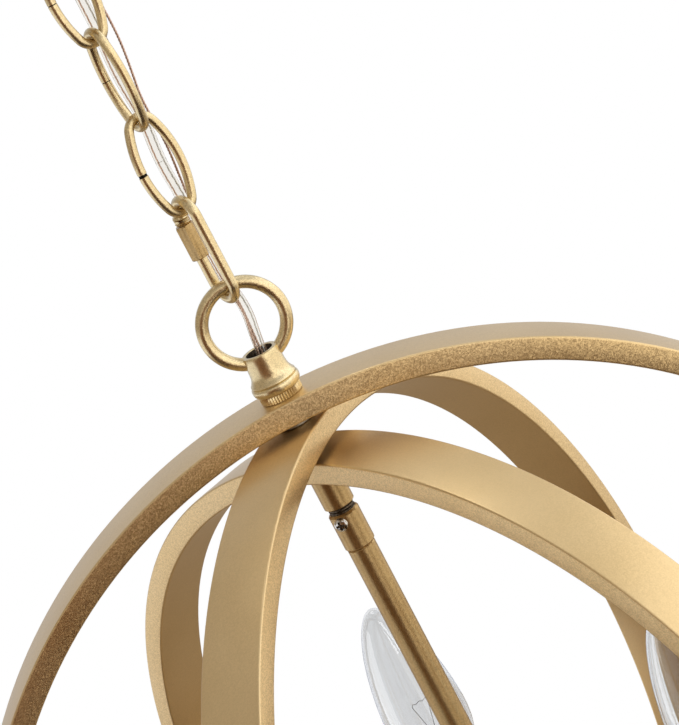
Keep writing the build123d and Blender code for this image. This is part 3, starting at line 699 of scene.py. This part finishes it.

# %% [markdown]
# The chain is made of wire ovals, bent shut until their ends meet in the middle of one side, where a
# thin dark joint still shows. A squeezed torus would be the wrong oval and would flatten the wire, so
# the path of a link is four arcs that run into each other. A short dark core fills the gap of the
# joint as painted shade, together with the dark raw steel of the cut ends.

# %% Chain links
LINK_HALF_LENGTH, LINK_HALF_WIDTH, LINK_END = 18.75, 8.05, 5.5
JOINT_REACH = 0.7


def link_path(butt):
    rise, spare = LINK_HALF_LENGTH - LINK_END, LINK_HALF_WIDTH - LINK_END
    offset = (rise**2 - spare**2) / (2 * spare)
    side = offset + LINK_HALF_WIDTH
    turn = math.degrees(math.atan2(rise, offset))
    gap = math.degrees(butt / 2 / side)
    return (arc(offset, 0, side, 180 - gap, 180 - turn, 14)
            + arc(0, rise, LINK_END, 180 - turn, turn, 22)
            + arc(-offset, 0, side, turn, -turn, 26)
            + arc(0, -rise, LINK_END, -turn, turn - 180, 22)
            + arc(offset, 0, side, 180 + turn, 180 + gap, 14))


for n, turn, butt in ((1, 24, 0.35), (2, -66, 0.35), (3, 24, 1.1)):
    node = f"chain_link_{n}"
    middle = sum(levels(node)) / 2
    bar = round_bar(f"{node}_bar", stood_up(link_path(butt), turn, middle), 3.5, 28, hardware_paint)
    joint = [(-LINK_HALF_WIDTH, JOINT_REACH), (-LINK_HALF_WIDTH, -JOINT_REACH)]
    # The dark core in the joint's gap is painted shade, with the dark of the raw cut ends.
    core = round_bar(f"{node}_core", stood_up(joint, turn, middle), 3.1, 24, joint_shade_and_raw_ends)
    mesh = joined(f"{node}_bar", bar, core)
    show(f"{node}_bar", mesh, hardware_paint, f"link_{n}", node)
    second_material(mesh, joint_shade_and_raw_ends, [0] * len(bar.polygons) + [1] * len(core.polygons))

# %% [markdown]
# A thread is a ridge that winds round a core. A bump in the paint could hint at it, but threads show
# in the outline here. So a second tree makes a spiral with a sharp profile and joins it to its core.

# %% Screw threads
thread_tree, given = new_tree("screw_thread", [
    ("Core", "Geometry"), ("Radius", "Float"), ("Turns", "Float"), ("Length", "Float"),
    ("Ridge", "Float"), ("Place", "Vector"), ("Material", "Material")])
spiral = add(thread_tree, "GeometryNodeCurveSpiral", {
    "Resolution": 40, "Rotations": given["Turns"], "Start Radius": given["Radius"],
    "End Radius": given["Radius"], "Height": given["Length"]})
ridge = add(thread_tree, "GeometryNodeCurvePrimitiveCircle", {"Resolution": 4, "Radius": given["Ridge"]})
worm = add(thread_tree, "GeometryNodeCurveToMesh", {
    "Curve": spiral, "Profile Curve": ridge, "Fill Caps": True})
placed = add(thread_tree, "GeometryNodeTransform", {"Geometry": worm, "Translation": given["Place"]})
both = add(thread_tree, "GeometryNodeJoinGeometry", {0: [given["Core"], placed]})
close_tree(thread_tree, both, given["Material"])


def threaded(name, core, radius, turns, low, length, ridge, at, material):
    place = (at[0] * MM, at[1] * MM, low * MM)
    return grow(name, thread_tree, core, **{
        "Radius": radius * MM, "Turns": turns, "Length": length * MM, "Ridge": ridge * MM,
        "Place": place, "Material": material})


# %% [markdown]
# The quick link is a longer ring of thicker wire, with two straight legs. One leg is cut, so that the
# chain can be hung in, and its end carries a thread. The bar tree makes the ring from a path that
# starts and ends at the cut, and the thread tree winds the thread round the upper end.

# %% Quick link
QUICK_TURN = -66
QUICK_LEG, QUICK_RISE = 6.6, 13.4
CUT_TOP, CUT_FOOT = 9.0, 4.0

quick_middle = sum(levels("quick_link")) / 2
quick_flat = ([(-QUICK_LEG, CUT_TOP), (-QUICK_LEG, QUICK_RISE)]
              + arc(0, QUICK_RISE, QUICK_LEG, 180, 0, 26) + [(QUICK_LEG, -QUICK_RISE)]
              + arc(0, -QUICK_RISE, QUICK_LEG, 0, -180, 26) + [(-QUICK_LEG, CUT_FOOT)])
quick_path = stood_up(quick_flat, QUICK_TURN, quick_middle)
quick_mesh = round_bar("quick_link_bar", quick_path, 4, 28, hardware_paint)
leg_at = stood_up([(-QUICK_LEG, 0.0)], QUICK_TURN, 0.0)[0]
quick_mesh = threaded("quick_link_bar", quick_mesh, 2.35, 2.6, quick_middle + 10.9, 2.9, 0.62,
                      leg_at, hardware_paint)
show("quick_link_bar", quick_mesh, None, "quick_link", "quick_link")

# %% [markdown]
# A long six-sided nut with an inside thread bridges the cut in the quick link. A plain prism would
# have sharp ends, but hexagon bar is bevelled to a circle when it is turned to length. So each ring of
# points reaches only as far as both the hexagon and the circle allow. The other nuts are made alike.

# %% Quick link sleeve
HEX_CORNER = math.radians(20)


def hex_sleeve(name, flats, bore, low, high, at=(0.0, 0.0), turn=0.0, steps=48):
    corner = flats / math.sqrt(3)
    bevel = (corner - flats / 2) * 0.8
    bm = bmesh.new()
    loops = []
    for radius, height in ((bore, low), (flats / 2, low), (corner, low + bevel),
                           (corner, high - bevel), (flats / 2, high), (bore, high)):
        loop = []
        for k in range(steps):
            a = 2 * math.pi * k / steps
            from_flat = (a + math.pi / 6) % (math.pi / 3) - math.pi / 6
            reach = min(radius, flats / 2 / math.cos(from_flat))
            x = at[0] + reach * math.cos(a + turn)
            y = at[1] + reach * math.sin(a + turn)
            loop.append(bm.verts.new((x * MM, y * MM, height * MM)))
        loops.append(loop)
    for lower, upper in zip(loops, loops[1:] + loops[:1]):
        for k in range(steps):
            after = (k + 1) % steps
            bm.faces.new((lower[k], lower[after], upper[after], upper[k]))
    bmesh.ops.recalc_face_normals(bm, faces=bm.faces)
    return finished(bm, name, HEX_CORNER)


sleeve = hex_sleeve("quick_link_nut", 6.4, 2.06, quick_middle - 3.1, quick_middle + 10.4,
                    leg_at, math.radians(QUICK_TURN))
show("quick_link_nut", sleeve, tube_paint, "quick_link_sleeve", "quick_link_sleeve")

# %% [markdown]
# Tubes, cups, caps, bulbs and the canopy are round, and most of them were turned or spun. A stack of
# cylinders would lose their steps and rounded edges, so each is drawn as half an outline and carried
# round its axis, as on a lathe. Where the outline touches the axis, the faces meet in one point.

# %% Turning
def turned(name, outline, at=(0.0, 0.0), steps=64):
    bm = bmesh.new()
    rings = []
    for radius, height in outline:
        ring = []
        for k in range(steps if radius > NEARLY_ZERO else 1):
            a = 2 * math.pi * k / steps
            x = at[0] + radius * math.cos(a)
            y = at[1] + radius * math.sin(a)
            ring.append(bm.verts.new((x * MM, y * MM, height * MM)))
        rings.append(ring)
    for lower, upper in zip(rings, rings[1:] + rings[:1]):
        for k in range(steps):
            after = (k + 1) % steps
            corners = [lower[k % len(lower)], lower[after % len(lower)],
                       upper[after % len(upper)], upper[k % len(upper)]]
            corners = list(dict.fromkeys(corners))
            if len(corners) > 2:
                bm.faces.new(corners)
    bmesh.ops.recalc_face_normals(bm, faces=bm.faces)
    return finished(bm, name)


print("turning helper ready")

# %% [markdown]
# Each loop is one casting: a ring that grows out of the sides of a short flared cup with an open
# mouth, where the cords go in. Ring and cup could be melted together by a remesh, but that would blur
# the crisp flange, so they just run into each other. The faces of the bore take the dark thread steel.

# %% Cast loops
CUP = [(5.2, 0), (8.3, 0), (8.75, 0.35), (9.15, 0.95), (9.35, 1.7), (9.4, 2.4), (9.3, 3.1), (9.0, 3.5),
       (8.6, 3.6), (8.75, 3.85), (8.9, 4.2), (8.8, 4.6), (8.35, 5.2), (7.9, 5.95), (7.55, 6.8),
       (7.32, 7.9), (7.2, 9.2), (7.14, 11.0), (7.1, 13.4), (7.1, 15.2), (6.95, 15.6), (6.6, 15.8),
       (5.6, 15.8), (5.3, 15.6), (5.2, 15.2)]
RING_LEVEL, RING_RADIUS = 27.3, 15.35
BORE_REACH, CUP_HEIGHT = 5.25 * MM, 16 * MM


def in_bore(face, seat):
    return Vector(face.center[:2]).length < BORE_REACH and abs(face.center.z - seat * MM) < CUP_HEIGHT


for node, body, seat, up_sign, turn in (("lamp_loop", "lamp", -243.1, 1, 0),
                                        ("canopy_loop", "ceiling_mount", -26.2, -1, -66)):
    cup = turned(f"{node}_cup", [(r, seat + up_sign * z) for r, z in CUP], steps=72)
    ring = [(x, up_sign * z) for x, z in arc(0, RING_LEVEL, RING_RADIUS, -66, 246, 90)]
    bar = round_bar(f"{node}_ring", stood_up(ring, turn, seat), 4.9, 36, hardware_paint)
    mesh = joined(f"{node}_casting", cup, bar)
    show(f"{node}_casting", mesh, hardware_paint, body, node)
    second_material(mesh, dark_thread_steel_and_recess_shade, [in_bore(face, seat) for face in mesh.polygons])

# %% [markdown]
# Next to each loop and at the bottom pole sits a small collar with a straight knurl, which gives the
# fingers a grip. A striped bump would look flat at the rim, so the knurl is real: one narrow bar,
# tipped on its corner and repeated round a circle by a tree.

# %% Knurled collars
knurl_tree, given = new_tree("straight_knurl", [
    ("Ring", "Geometry"), ("Radius", "Float"), ("Teeth", "Int"), ("Tooth", "Vector"),
    ("Place", "Vector"), ("Material", "Material")])
circle = add(knurl_tree, "GeometryNodeCurvePrimitiveCircle", {"Resolution": 128, "Radius": given["Radius"]})
dots = add(knurl_tree, "GeometryNodeCurveToPoints", {"Curve": circle, "Count": given["Teeth"]}, mode="COUNT")
tooth = add(knurl_tree, "GeometryNodeMeshCube", {"Size": given["Tooth"]})
tipped = add(knurl_tree, "GeometryNodeTransform", {
    "Geometry": tooth, "Rotation": (0.0, 0.0, math.radians(45))})
order = add(knurl_tree, "GeometryNodeInputIndex")
share = add(knurl_tree, "ShaderNodeMath", {0: order, 1: given["Teeth"]}, operation="DIVIDE")
around = add(knurl_tree, "ShaderNodeMath", {0: share, 1: 2 * math.pi}, operation="MULTIPLY")
facing = add(knurl_tree, "ShaderNodeCombineXYZ", {"Z": around})
teeth = add(knurl_tree, "GeometryNodeInstanceOnPoints", {
    "Points": dots, "Instance": tipped, "Rotation": facing})
lifted = add(knurl_tree, "GeometryNodeTransform", {"Geometry": teeth, "Translation": given["Place"]})
both = add(knurl_tree, "GeometryNodeJoinGeometry", {0: [given["Ring"], lifted]})
close_tree(knurl_tree, both, given["Material"])

for node, body in (("lamp_collar", "lamp"), ("canopy_collar", "ceiling_mount"), ("bottom_collar", "lamp")):
    low, high = levels(node)
    outline = [(5.2, low), (7.3, low), (7.5, low + 0.3), (7.5, high - 0.3), (7.3, high), (5.2, high)]
    ring = turned(node + "_core", outline, steps=72)
    mesh = grow(node + "_knurl", knurl_tree, ring, **{
        "Radius": 7.6 * MM, "Teeth": 46, "Tooth": (0.78 * MM, 0.78 * MM, (high - low - 0.5) * MM),
        "Place": (0.0, 0.0, (low + high) / 2 * MM), "Material": hardware_paint})
    show(node + "_knurl", mesh, None, body, node)

# %% [markdown]
# The three hoops are the same flat bar rolled into rings of three sizes. Scaling one ring would change
# its bar as well, so a tree takes the radius as an input. It rounds the corners of a rectangle,
# carries it round a circle, stands the ring up, turns it about the upright axis and drills both poles
# for the threaded tubes. The hoops turn on those tubes by hand. The two flat sides of each ring are
# the bar's cut edges, which have the rougher paint.

# %% Hoops
HOOPS = {"outer": (203.0, 0.0), "middle": (191.7, 58.8), "inner": (180.4, -53.5)}
FACES_SIDEWAYS = 0.97

hoop_tree, given = new_tree("hoop_band", [
    ("Base", "Geometry"), ("Outer Radius", "Float"), ("Thickness", "Float"), ("Width", "Float"),
    ("Edge Radius", "Float"), ("Turn", "Float"), ("Hole", "Float"), ("Middle", "Vector"),
    ("Material", "Material")])
half = add(hoop_tree, "ShaderNodeMath", {0: given["Thickness"], 1: 0.5}, operation="MULTIPLY")
centre_line = add(hoop_tree, "ShaderNodeMath", {0: given["Outer Radius"], 1: half}, operation="SUBTRACT")
circle = add(hoop_tree, "GeometryNodeCurvePrimitiveCircle", {"Resolution": 240, "Radius": centre_line})
bar = add(hoop_tree, "GeometryNodeCurvePrimitiveQuadrilateral", {
    "Width": given["Thickness"], "Height": given["Width"]})
rounded = add(hoop_tree, "GeometryNodeFilletCurve", {
    "Curve": bar, "Radius": given["Edge Radius"], "Count": 5}, mode="POLY")
ring = add(hoop_tree, "GeometryNodeCurveToMesh", {"Curve": circle, "Profile Curve": rounded})
upright = add(hoop_tree, "GeometryNodeTransform", {
    "Geometry": ring, "Rotation": (math.radians(90), 0.0, 0.0)})
facing = add(hoop_tree, "ShaderNodeCombineXYZ", {"Z": given["Turn"]})
turned_ring = add(hoop_tree, "GeometryNodeTransform", {"Geometry": upright, "Rotation": facing})
depth = add(hoop_tree, "ShaderNodeMath", {0: given["Outer Radius"], 1: 3.0}, operation="MULTIPLY")
drill = add(hoop_tree, "GeometryNodeMeshCylinder", {
    "Vertices": 48, "Radius": given["Hole"], "Depth": depth})
drilled = add(hoop_tree, "GeometryNodeMeshBoolean", {
    "Mesh 1": turned_ring, "Mesh 2": drill}, operation="DIFFERENCE")
placed = add(hoop_tree, "GeometryNodeTransform", {"Geometry": drilled, "Translation": given["Middle"]})
close_tree(hoop_tree, placed, given["Material"])

for name, (radius, degrees) in HOOPS.items():
    turn = math.radians(degrees)
    mesh = grow(f"{name}_hoop_band", hoop_tree, bpy.data.meshes.new(name), **{
        "Outer Radius": radius * MM, "Thickness": 9 * MM, "Width": 24 * MM, "Edge Radius": 0.8 * MM,
        "Turn": turn, "Hole": 5.3 * MM, "Middle": (0.0, 0.0, CENTRE), "Material": band_paint})
    show(f"{name}_hoop_band", mesh, band_paint, f"{name}_hoop", f"{name}_hoop")
    axle = Vector((-math.sin(turn), math.cos(turn), 0.0))
    second_material(mesh, edge_paint, [abs(f.normal.dot(axle)) > FACES_SIDEWAYS for f in mesh.polygons])

# %% [markdown]
# Threaded tubes run through both poles and through the canopy, and carry what is stacked there. Most
# of their thread is hidden and could be left plain, but a stretch shows under the top pole, so all
# of it is wound, with a pitch of 1 mm. Thin washers keep the hoops apart.

# %% Threaded tubes and washers
def ring_outline(outer, inner, low, high, edge):
    return [(inner, low), (outer - edge, low), (outer, low + edge),
            (outer, high - edge), (outer - edge, high), (inner, high)]


for node, body, material in (("top_nipple", "lamp", dark_thread_steel_and_recess_shade),
                             ("canopy_nipple", "ceiling_mount", zinc_steel),
                             ("tail_nipple", "lamp", dark_thread_steel_and_recess_shade)):
    low, high = levels(node)
    outline = [(3.5, low), (4.5, low), (4.7, low + 0.3), (4.7, high - 0.3), (4.5, high), (3.5, high)]
    core = turned(node + "_core", outline, steps=48)
    run = high - low - 1.2
    mesh = threaded(node + "_threaded", core, 4.72, run, low + 0.6, run, 0.34, (0.0, 0.0), material)
    show(node + "_threaded", mesh, None, body, node)

for side, node in ((1, "top_washers"), (-1, "bottom_washers")):
    rings = []
    for hoop in ("middle", "inner"):
        radius = HOOPS[hoop][0]
        low, high = sorted(CENTRE / MM + side * (radius + gap) for gap in (0.1, 2.0))
        rings.append(turned(f"{node}_{radius}", ring_outline(7.0, 5.2, low, high, 0.2)))
    show(node + "_pair", joined(node + "_pair", *rings), zinc_steel, "lamp", node)

# %% [markdown]
# Under the top pole come a spacer, a stretch of bare dark thread, a coupler with rounded ends, and the
# stem down to the hub. All could be one long turning, but each is a tube of its own, and the fine
# steps where they meet catch a thin line of shade.

# %% Spacer, coupler and stem
def turn_piece(name, outline, material, body, node, at=(0.0, 0.0), steps=64):
    show(name, turned(name, outline, at, steps), material, body, node)


low, high = levels("spacer")
turn_piece("spacer_tube", ring_outline(6.0, 5.2, low, high, 0.35), tube_paint, "lamp", "spacer")
low, high = levels("coupler")
outline = [(4.6, low), (5.1, low), (5.65, low + 0.35), (6.0, low + 0.9), (6.0, high - 0.9),
           (5.65, high - 0.35), (5.1, high), (5.2, high), (5.2, high - 8.2), (4.6, high - 8.2)]
turn_piece("coupler_turned", outline, tube_paint, "lamp", "coupler", steps=72)
stem_low, stem_high = levels("stem")
outline = [(3.5, stem_low), (5.5, stem_low), (5.5, low - 0.4), (5.2, low), (4.5, low),
           (4.5, stem_high), (3.5, stem_high)]
turn_piece("stem_tube", outline, tube_paint, "lamp", "stem", steps=72)

# %% [markdown]
# A small pan-head screw locks the coupler. Its cross recess could be drawn in a material, but a real
# cut holds its own shade. So the head is turned, and a tree cuts it with two crossed bars, aims the
# screw outwards and sets it on the coupler. The faces inside the recess also take the dark thread
# steel, as painted shade.

# %% Coupler screw
SCREW_HEAD, SCREW_RISE, SCREW_SHANK, SCREW_LENGTH = 2.6, 1.8, 1.5, 0.85
HEAD_SHAPE = [(1.0, 0.0), (1.0, 0.45), (0.93, 0.72), (0.75, 0.9), (0.45, 1.0), (0.0, 1.0)]
RECESS_LOW, RECESS_HIGH, RECESS_REACH = 0.4, 1.5, 1.85
SCREW_TURN = math.radians(242)

cross_tree, given = new_tree("cross_recess", [
    ("Screw", "Geometry"), ("Arm", "Vector"), ("Level", "Vector"), ("Spin", "Vector"),
    ("Place", "Vector"), ("Material", "Material")])
first_arm = add(cross_tree, "GeometryNodeMeshCube", {"Size": given["Arm"]})
second_arm = add(cross_tree, "GeometryNodeTransform", {
    "Geometry": first_arm, "Rotation": (0.0, 0.0, math.radians(90))})
long_cut = add(cross_tree, "GeometryNodeTransform", {"Geometry": first_arm, "Translation": given["Level"]})
side_cut = add(cross_tree, "GeometryNodeTransform", {"Geometry": second_arm, "Translation": given["Level"]})
cut = add(cross_tree, "GeometryNodeMeshBoolean", {
    "Mesh 1": given["Screw"], "Mesh 2": [long_cut, side_cut]}, operation="DIFFERENCE")
aimed = add(cross_tree, "GeometryNodeTransform", {
    "Geometry": cut, "Rotation": given["Spin"], "Translation": given["Place"]})
close_tree(cross_tree, aimed, given["Material"])

shank = [(0, -SCREW_LENGTH), (SCREW_SHANK, -SCREW_LENGTH), (SCREW_SHANK, 0)]
head = [(SCREW_HEAD * across, SCREW_RISE * rise) for across, rise in HEAD_SHAPE]
blank = turned("pan_screw", shank + head, steps=40)
out = Vector((math.cos(SCREW_TURN), math.sin(SCREW_TURN), 0.0))
seat = out * 6.0 * MM + Vector((0, 0, (levels("coupler")[1] - 3.2) * MM))
mesh = grow("coupler_screw_head", cross_tree, blank, **{
    "Arm": (3.5 * MM, 0.95 * MM, 1.7 * MM), "Level": (0.0, 0.0, 1.75 * MM),
    "Spin": tuple(out.to_track_quat("Z", "Y").to_euler()), "Place": tuple(seat),
    "Material": bright_screw})
show("coupler_screw_head", mesh, bright_screw, "lamp", "coupler_screw")
# Faces inside the cross recess take the dark steel as painted shade.
recess_shade_faces = []
for face in mesh.polygons:
    height = (face.center - seat).dot(out) / MM
    reach = (face.center - seat - out * height * MM).length / MM
    recess_shade_faces.append(RECESS_LOW < height < RECESS_HIGH and reach < RECESS_REACH)
second_material(mesh, dark_thread_steel_and_recess_shade, recess_shade_faces)

# %% [markdown]
# Under the hoops' centre the stem ends in a hub, closed by a cap and a nut. A tube goes on down to the
# bottom pole, where a ball finial closes the stack. All of this lies outside the photograph, so it
# could have any form, and it gets the plain turned shapes that such lamps have.

# %% Hub and tail
BALL_RADIUS, BALL_SWEEP, BALL_STEPS = 10.0, 135.57, 24

low, high = levels("hub")
outline = [(5.6, high - 6), (5.6, high), (8.6, high), (9.0, high - 0.4), (9.0, high - 4.6),
           (9.4, high - 5.2), (16.4, high - 10.6), (17.0, high - 11.4), (17.0, low), (14.0, low),
           (14.0, high - 11), (3.5, high - 11), (3.5, high - 6)]
turn_piece("hub_body", outline, tube_paint, "lamp", "hub", steps=96)
low, high = levels("hub_cap")
turn_piece("hub_cap_disc", ring_outline(17.0, 5.2, low, high, 0.5), tube_paint, "lamp", "hub_cap")
low, high = levels("tail_tube")
turn_piece("tail_tube_turned", ring_outline(6.35, 5.2, low, high, 0.35), tube_paint, "lamp", "tail_tube")
low, high = levels("finial")
angles = [math.radians(k * BALL_SWEEP / BALL_STEPS) for k in range(BALL_STEPS + 1)]
ball = [(BALL_RADIUS * math.sin(a), low + BALL_RADIUS - BALL_RADIUS * math.cos(a)) for a in angles]
neck = [(7.2, low + 17.9), (7.65, high - 1.0), (7.65, high - 0.3), (7.4, high), (5.2, high),
        (5.2, high - 11), (0.0, high - 11)]
turn_piece("finial_ball", ball + neck, tube_paint, "lamp", "finial", steps=80)

# %% [markdown]
# Each of the three arms is a bar bent up at its end. It carries a spun cup, and a candle sleeve stands
# in the cup with a lampholder inside it. The three lights are alike and could be copies of one, but
# each is its own piece here, so that it can stand for its own solid.

# %% Arms, cups, candles and lampholders
LIGHT_RADIUS, ARM_START, ARM_BEND, ARM_DROP = 92.6, 14.0, 24, 33.5

light_places = {}
for n, turn in ((1, 95.7), (2, -24.3), (3, -144.3)):
    at = stood_up([(LIGHT_RADIUS, 0.0)], turn, 0.0)[0][:2]
    light_places[n] = at
    top = levels(f"arm_{n}")[1]
    start = top - ARM_DROP
    bend = arc(LIGHT_RADIUS - ARM_BEND, start + ARM_BEND, ARM_BEND, -90, 0, 24)
    arm_path = stood_up([(ARM_START, start)] + bend + [(LIGHT_RADIUS, top)], turn, 0.0)
    mesh = round_bar(f"arm_{n}_bar", arm_path, 8, 40, tube_paint)
    show(f"arm_{n}_bar", mesh, None, "lamp", f"arm_{n}")
    low, high = levels(f"cup_{n}")
    dish = [(4.1, low), (12.6, low), (13.2, low + 0.3), (15.2, low + 3.4), (17.0, low + 6.8),
            (17.9, high - 0.3), (17.6, high), (16.9, high), (16.6, high - 0.3), (14.6, low + 4.2),
            (12.4, low + 1.2), (4.1, low + 1.2)]
    turn_piece(f"cup_{n}_dish", dish, tube_paint, "lamp", f"cup_{n}", at, 72)
    sleeve = ring_outline(11.5, 10.5, *levels(f"candle_{n}"), 0.3)
    turn_piece(f"candle_{n}_sleeve", sleeve, tube_paint, "lamp", f"candle_{n}", at)
    low, high = levels(f"socket_{n}")
    holder = [(0.0, high - 19.0), (6.25, high - 19.0), (6.25, high), (8.9, high), (9.25, high - 0.4),
              (9.25, high - 37.6), (8.9, high - 38), (4.0, high - 38), (4.0, low), (0.0, low)]
    turn_piece(f"socket_{n}_holder", holder, black_phenolic, "lamp", f"socket_{n}", at, 56)

# %% [markdown]
# The bulbs are clear blown glass with a fine wall. One thin skin would look like foil, so the outline
# runs down the outside and back up the inside, and light bends as in real glass: the room shows
# through, and the rims look darker. The powers in the outline make the tip blunt and the neck hollow.

# %% Outline of the bulb glass
GLASS_RADIUS, NECK_RADIUS, GLASS_WALL = 17.5, 6.2, 0.8
GLASS_SHOULDER, GLASS_FOOT = 54, 28


def glass_side(tip, inset, steps=40):
    widest, neck = GLASS_RADIUS - inset, NECK_RADIUS - inset
    points = []
    for k in range(steps + 1):
        share = (k / steps) ** 2
        height = tip - inset - share * (GLASS_SHOULDER - inset)
        points.append((widest * (1 - (1 - share) ** 1.7) ** 0.56, height))
    for k in range(1, steps // 2 + 1):
        share = k / (steps // 2)
        reach = neck + (widest - neck) * (1 - share ** 2.4)
        points.append((reach, tip - GLASS_SHOULDER - share * GLASS_FOOT))
    return points


print("points down one side of the glass", len(glass_side(0.0, 0.0)))

# %% [markdown]
# A screw cap with rolled threads holds the glass. Inside stand a small glass mount and two wires with
# the filament between them. The cap's threads could be wound by the thread tree, but rolled ones are
# so soft and low that rings in the turned outline look much the same.

# %% Bulbs with caps, mounts and filaments
CAP_RIM = [(0.0, 0), (6.4, 0), (6.6, 0.3), (6.6, 1.7), (6.4, 2.0), (5.6, 2.1)]
CAP_THREAD = [(5.55, -0.9), (5.85, -0.4), (5.95, 0.0), (5.85, 0.4), (5.55, 0.9)]
CAP_END = [(5.3, 17.4), (5.0, 18.4), (3.0, 20.2), (2.7, 20.9), (1.6, 21.0), (0.0, 21.0)]
MOUNT = [(0.0, 0), (2.5, 0), (2.4, 6), (1.7, 12), (1.5, 17), (1.2, 21.4), (0.6, 22), (0.0, 22)]
FILAMENT = [(-0.9, 21.2), (-3.6, 34.8), (-3.0, 36.0), (-1.5, 35.3), (0.0, 36.0), (1.5, 35.3),
            (3.0, 36.0), (3.6, 34.8), (0.9, 21.2)]
FIRST_THREAD, THREAD_STEP = 3.4, 2.9

cap_side = list(CAP_RIM)
for k in range(5):
    cap_side += [(reach, FIRST_THREAD + k * THREAD_STEP + drop) for reach, drop in CAP_THREAD]
cap_side += CAP_END
for n, at in light_places.items():
    tip = levels(f"bulb_glass_{n}")[1]
    outline = glass_side(tip, 0.0) + glass_side(tip, GLASS_WALL)[::-1]
    turn_piece(f"bulb_{n}_glass", outline, bulb_glass, f"bulb_{n}", f"bulb_glass_{n}", at, 72)
    rim = levels(f"bulb_cap_{n}")[1]
    cap = [(reach, rim - drop) for reach, drop in cap_side]
    turn_piece(f"bulb_{n}_cap", cap, cap_brass, f"bulb_{n}", f"bulb_cap_{n}", at, 48)
    mount = turned(f"mount_{n}", [(reach, rim + rise) for reach, rise in MOUNT], at, 24)
    turn = math.degrees(math.atan2(at[1], at[0])) - 90
    wire = round_bar(f"wire_{n}", stood_up(FILAMENT, turn, rim, at), 0.32, 10, tungsten)
    mesh = joined(f"bulb_{n}_mount", mount, wire)
    show(f"bulb_{n}_mount", mesh, bulb_glass, f"bulb_{n}", f"bulb_filament_{n}")
    second_material(mesh, tungsten, [0] * len(mount.polygons) + [1] * len(wire.polygons))

# %% [markdown]
# At the ceiling a spun canopy hides the crossbar, its locknut and the green screw for the ground wire.
# One skin would do from below, but the open rim can be seen from above, so the sheet has both its
# sides. The crossbar and the screw keep the shape of their solids, which is enough inside a canopy.

# %% Canopy and ceiling hardware
CANOPY_RADIUS, CANOPY_ROUND, CANOPY_DEPTH, CANOPY_SHEET = 60, 16, 20, 1.2
CANOPY_LIP = -3


def canopy_side(inset):
    middle = CANOPY_RADIUS - inset - CANOPY_ROUND
    depth = CANOPY_DEPTH - inset
    angles = [math.radians(90 * k / 20) for k in range(21)]
    return [(middle + CANOPY_ROUND * math.sin(a), CANOPY_LIP - depth * math.cos(a)) for a in angles]


rim = [(60.0, -0.4), (59.7, 0.0), (59.1, 0.0), (58.8, -0.4)]
outline = [(5.2, -23.0)] + canopy_side(0.0) + rim + canopy_side(CANOPY_SHEET)[::-1] + [(5.2, -21.8)]
turn_piece("canopy_dish", outline, band_paint, "ceiling_mount", "canopy", steps=128)
for name, body, node in (("crossbar_nut", "ceiling_mount", "crossbar_locknut"),
                         ("hub_nut_hex", "lamp", "hub_nut")):
    show(name, hex_sleeve(name, 14.0, 5.2, *levels(node)), zinc_steel, body, node)
for node, material in (("crossbar", zinc_steel), ("ground_screw", green_paint)):
    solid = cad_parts[node].data
    solid.materials.clear()
    solid.materials.append(material)
    print(node, "keeps its solid")
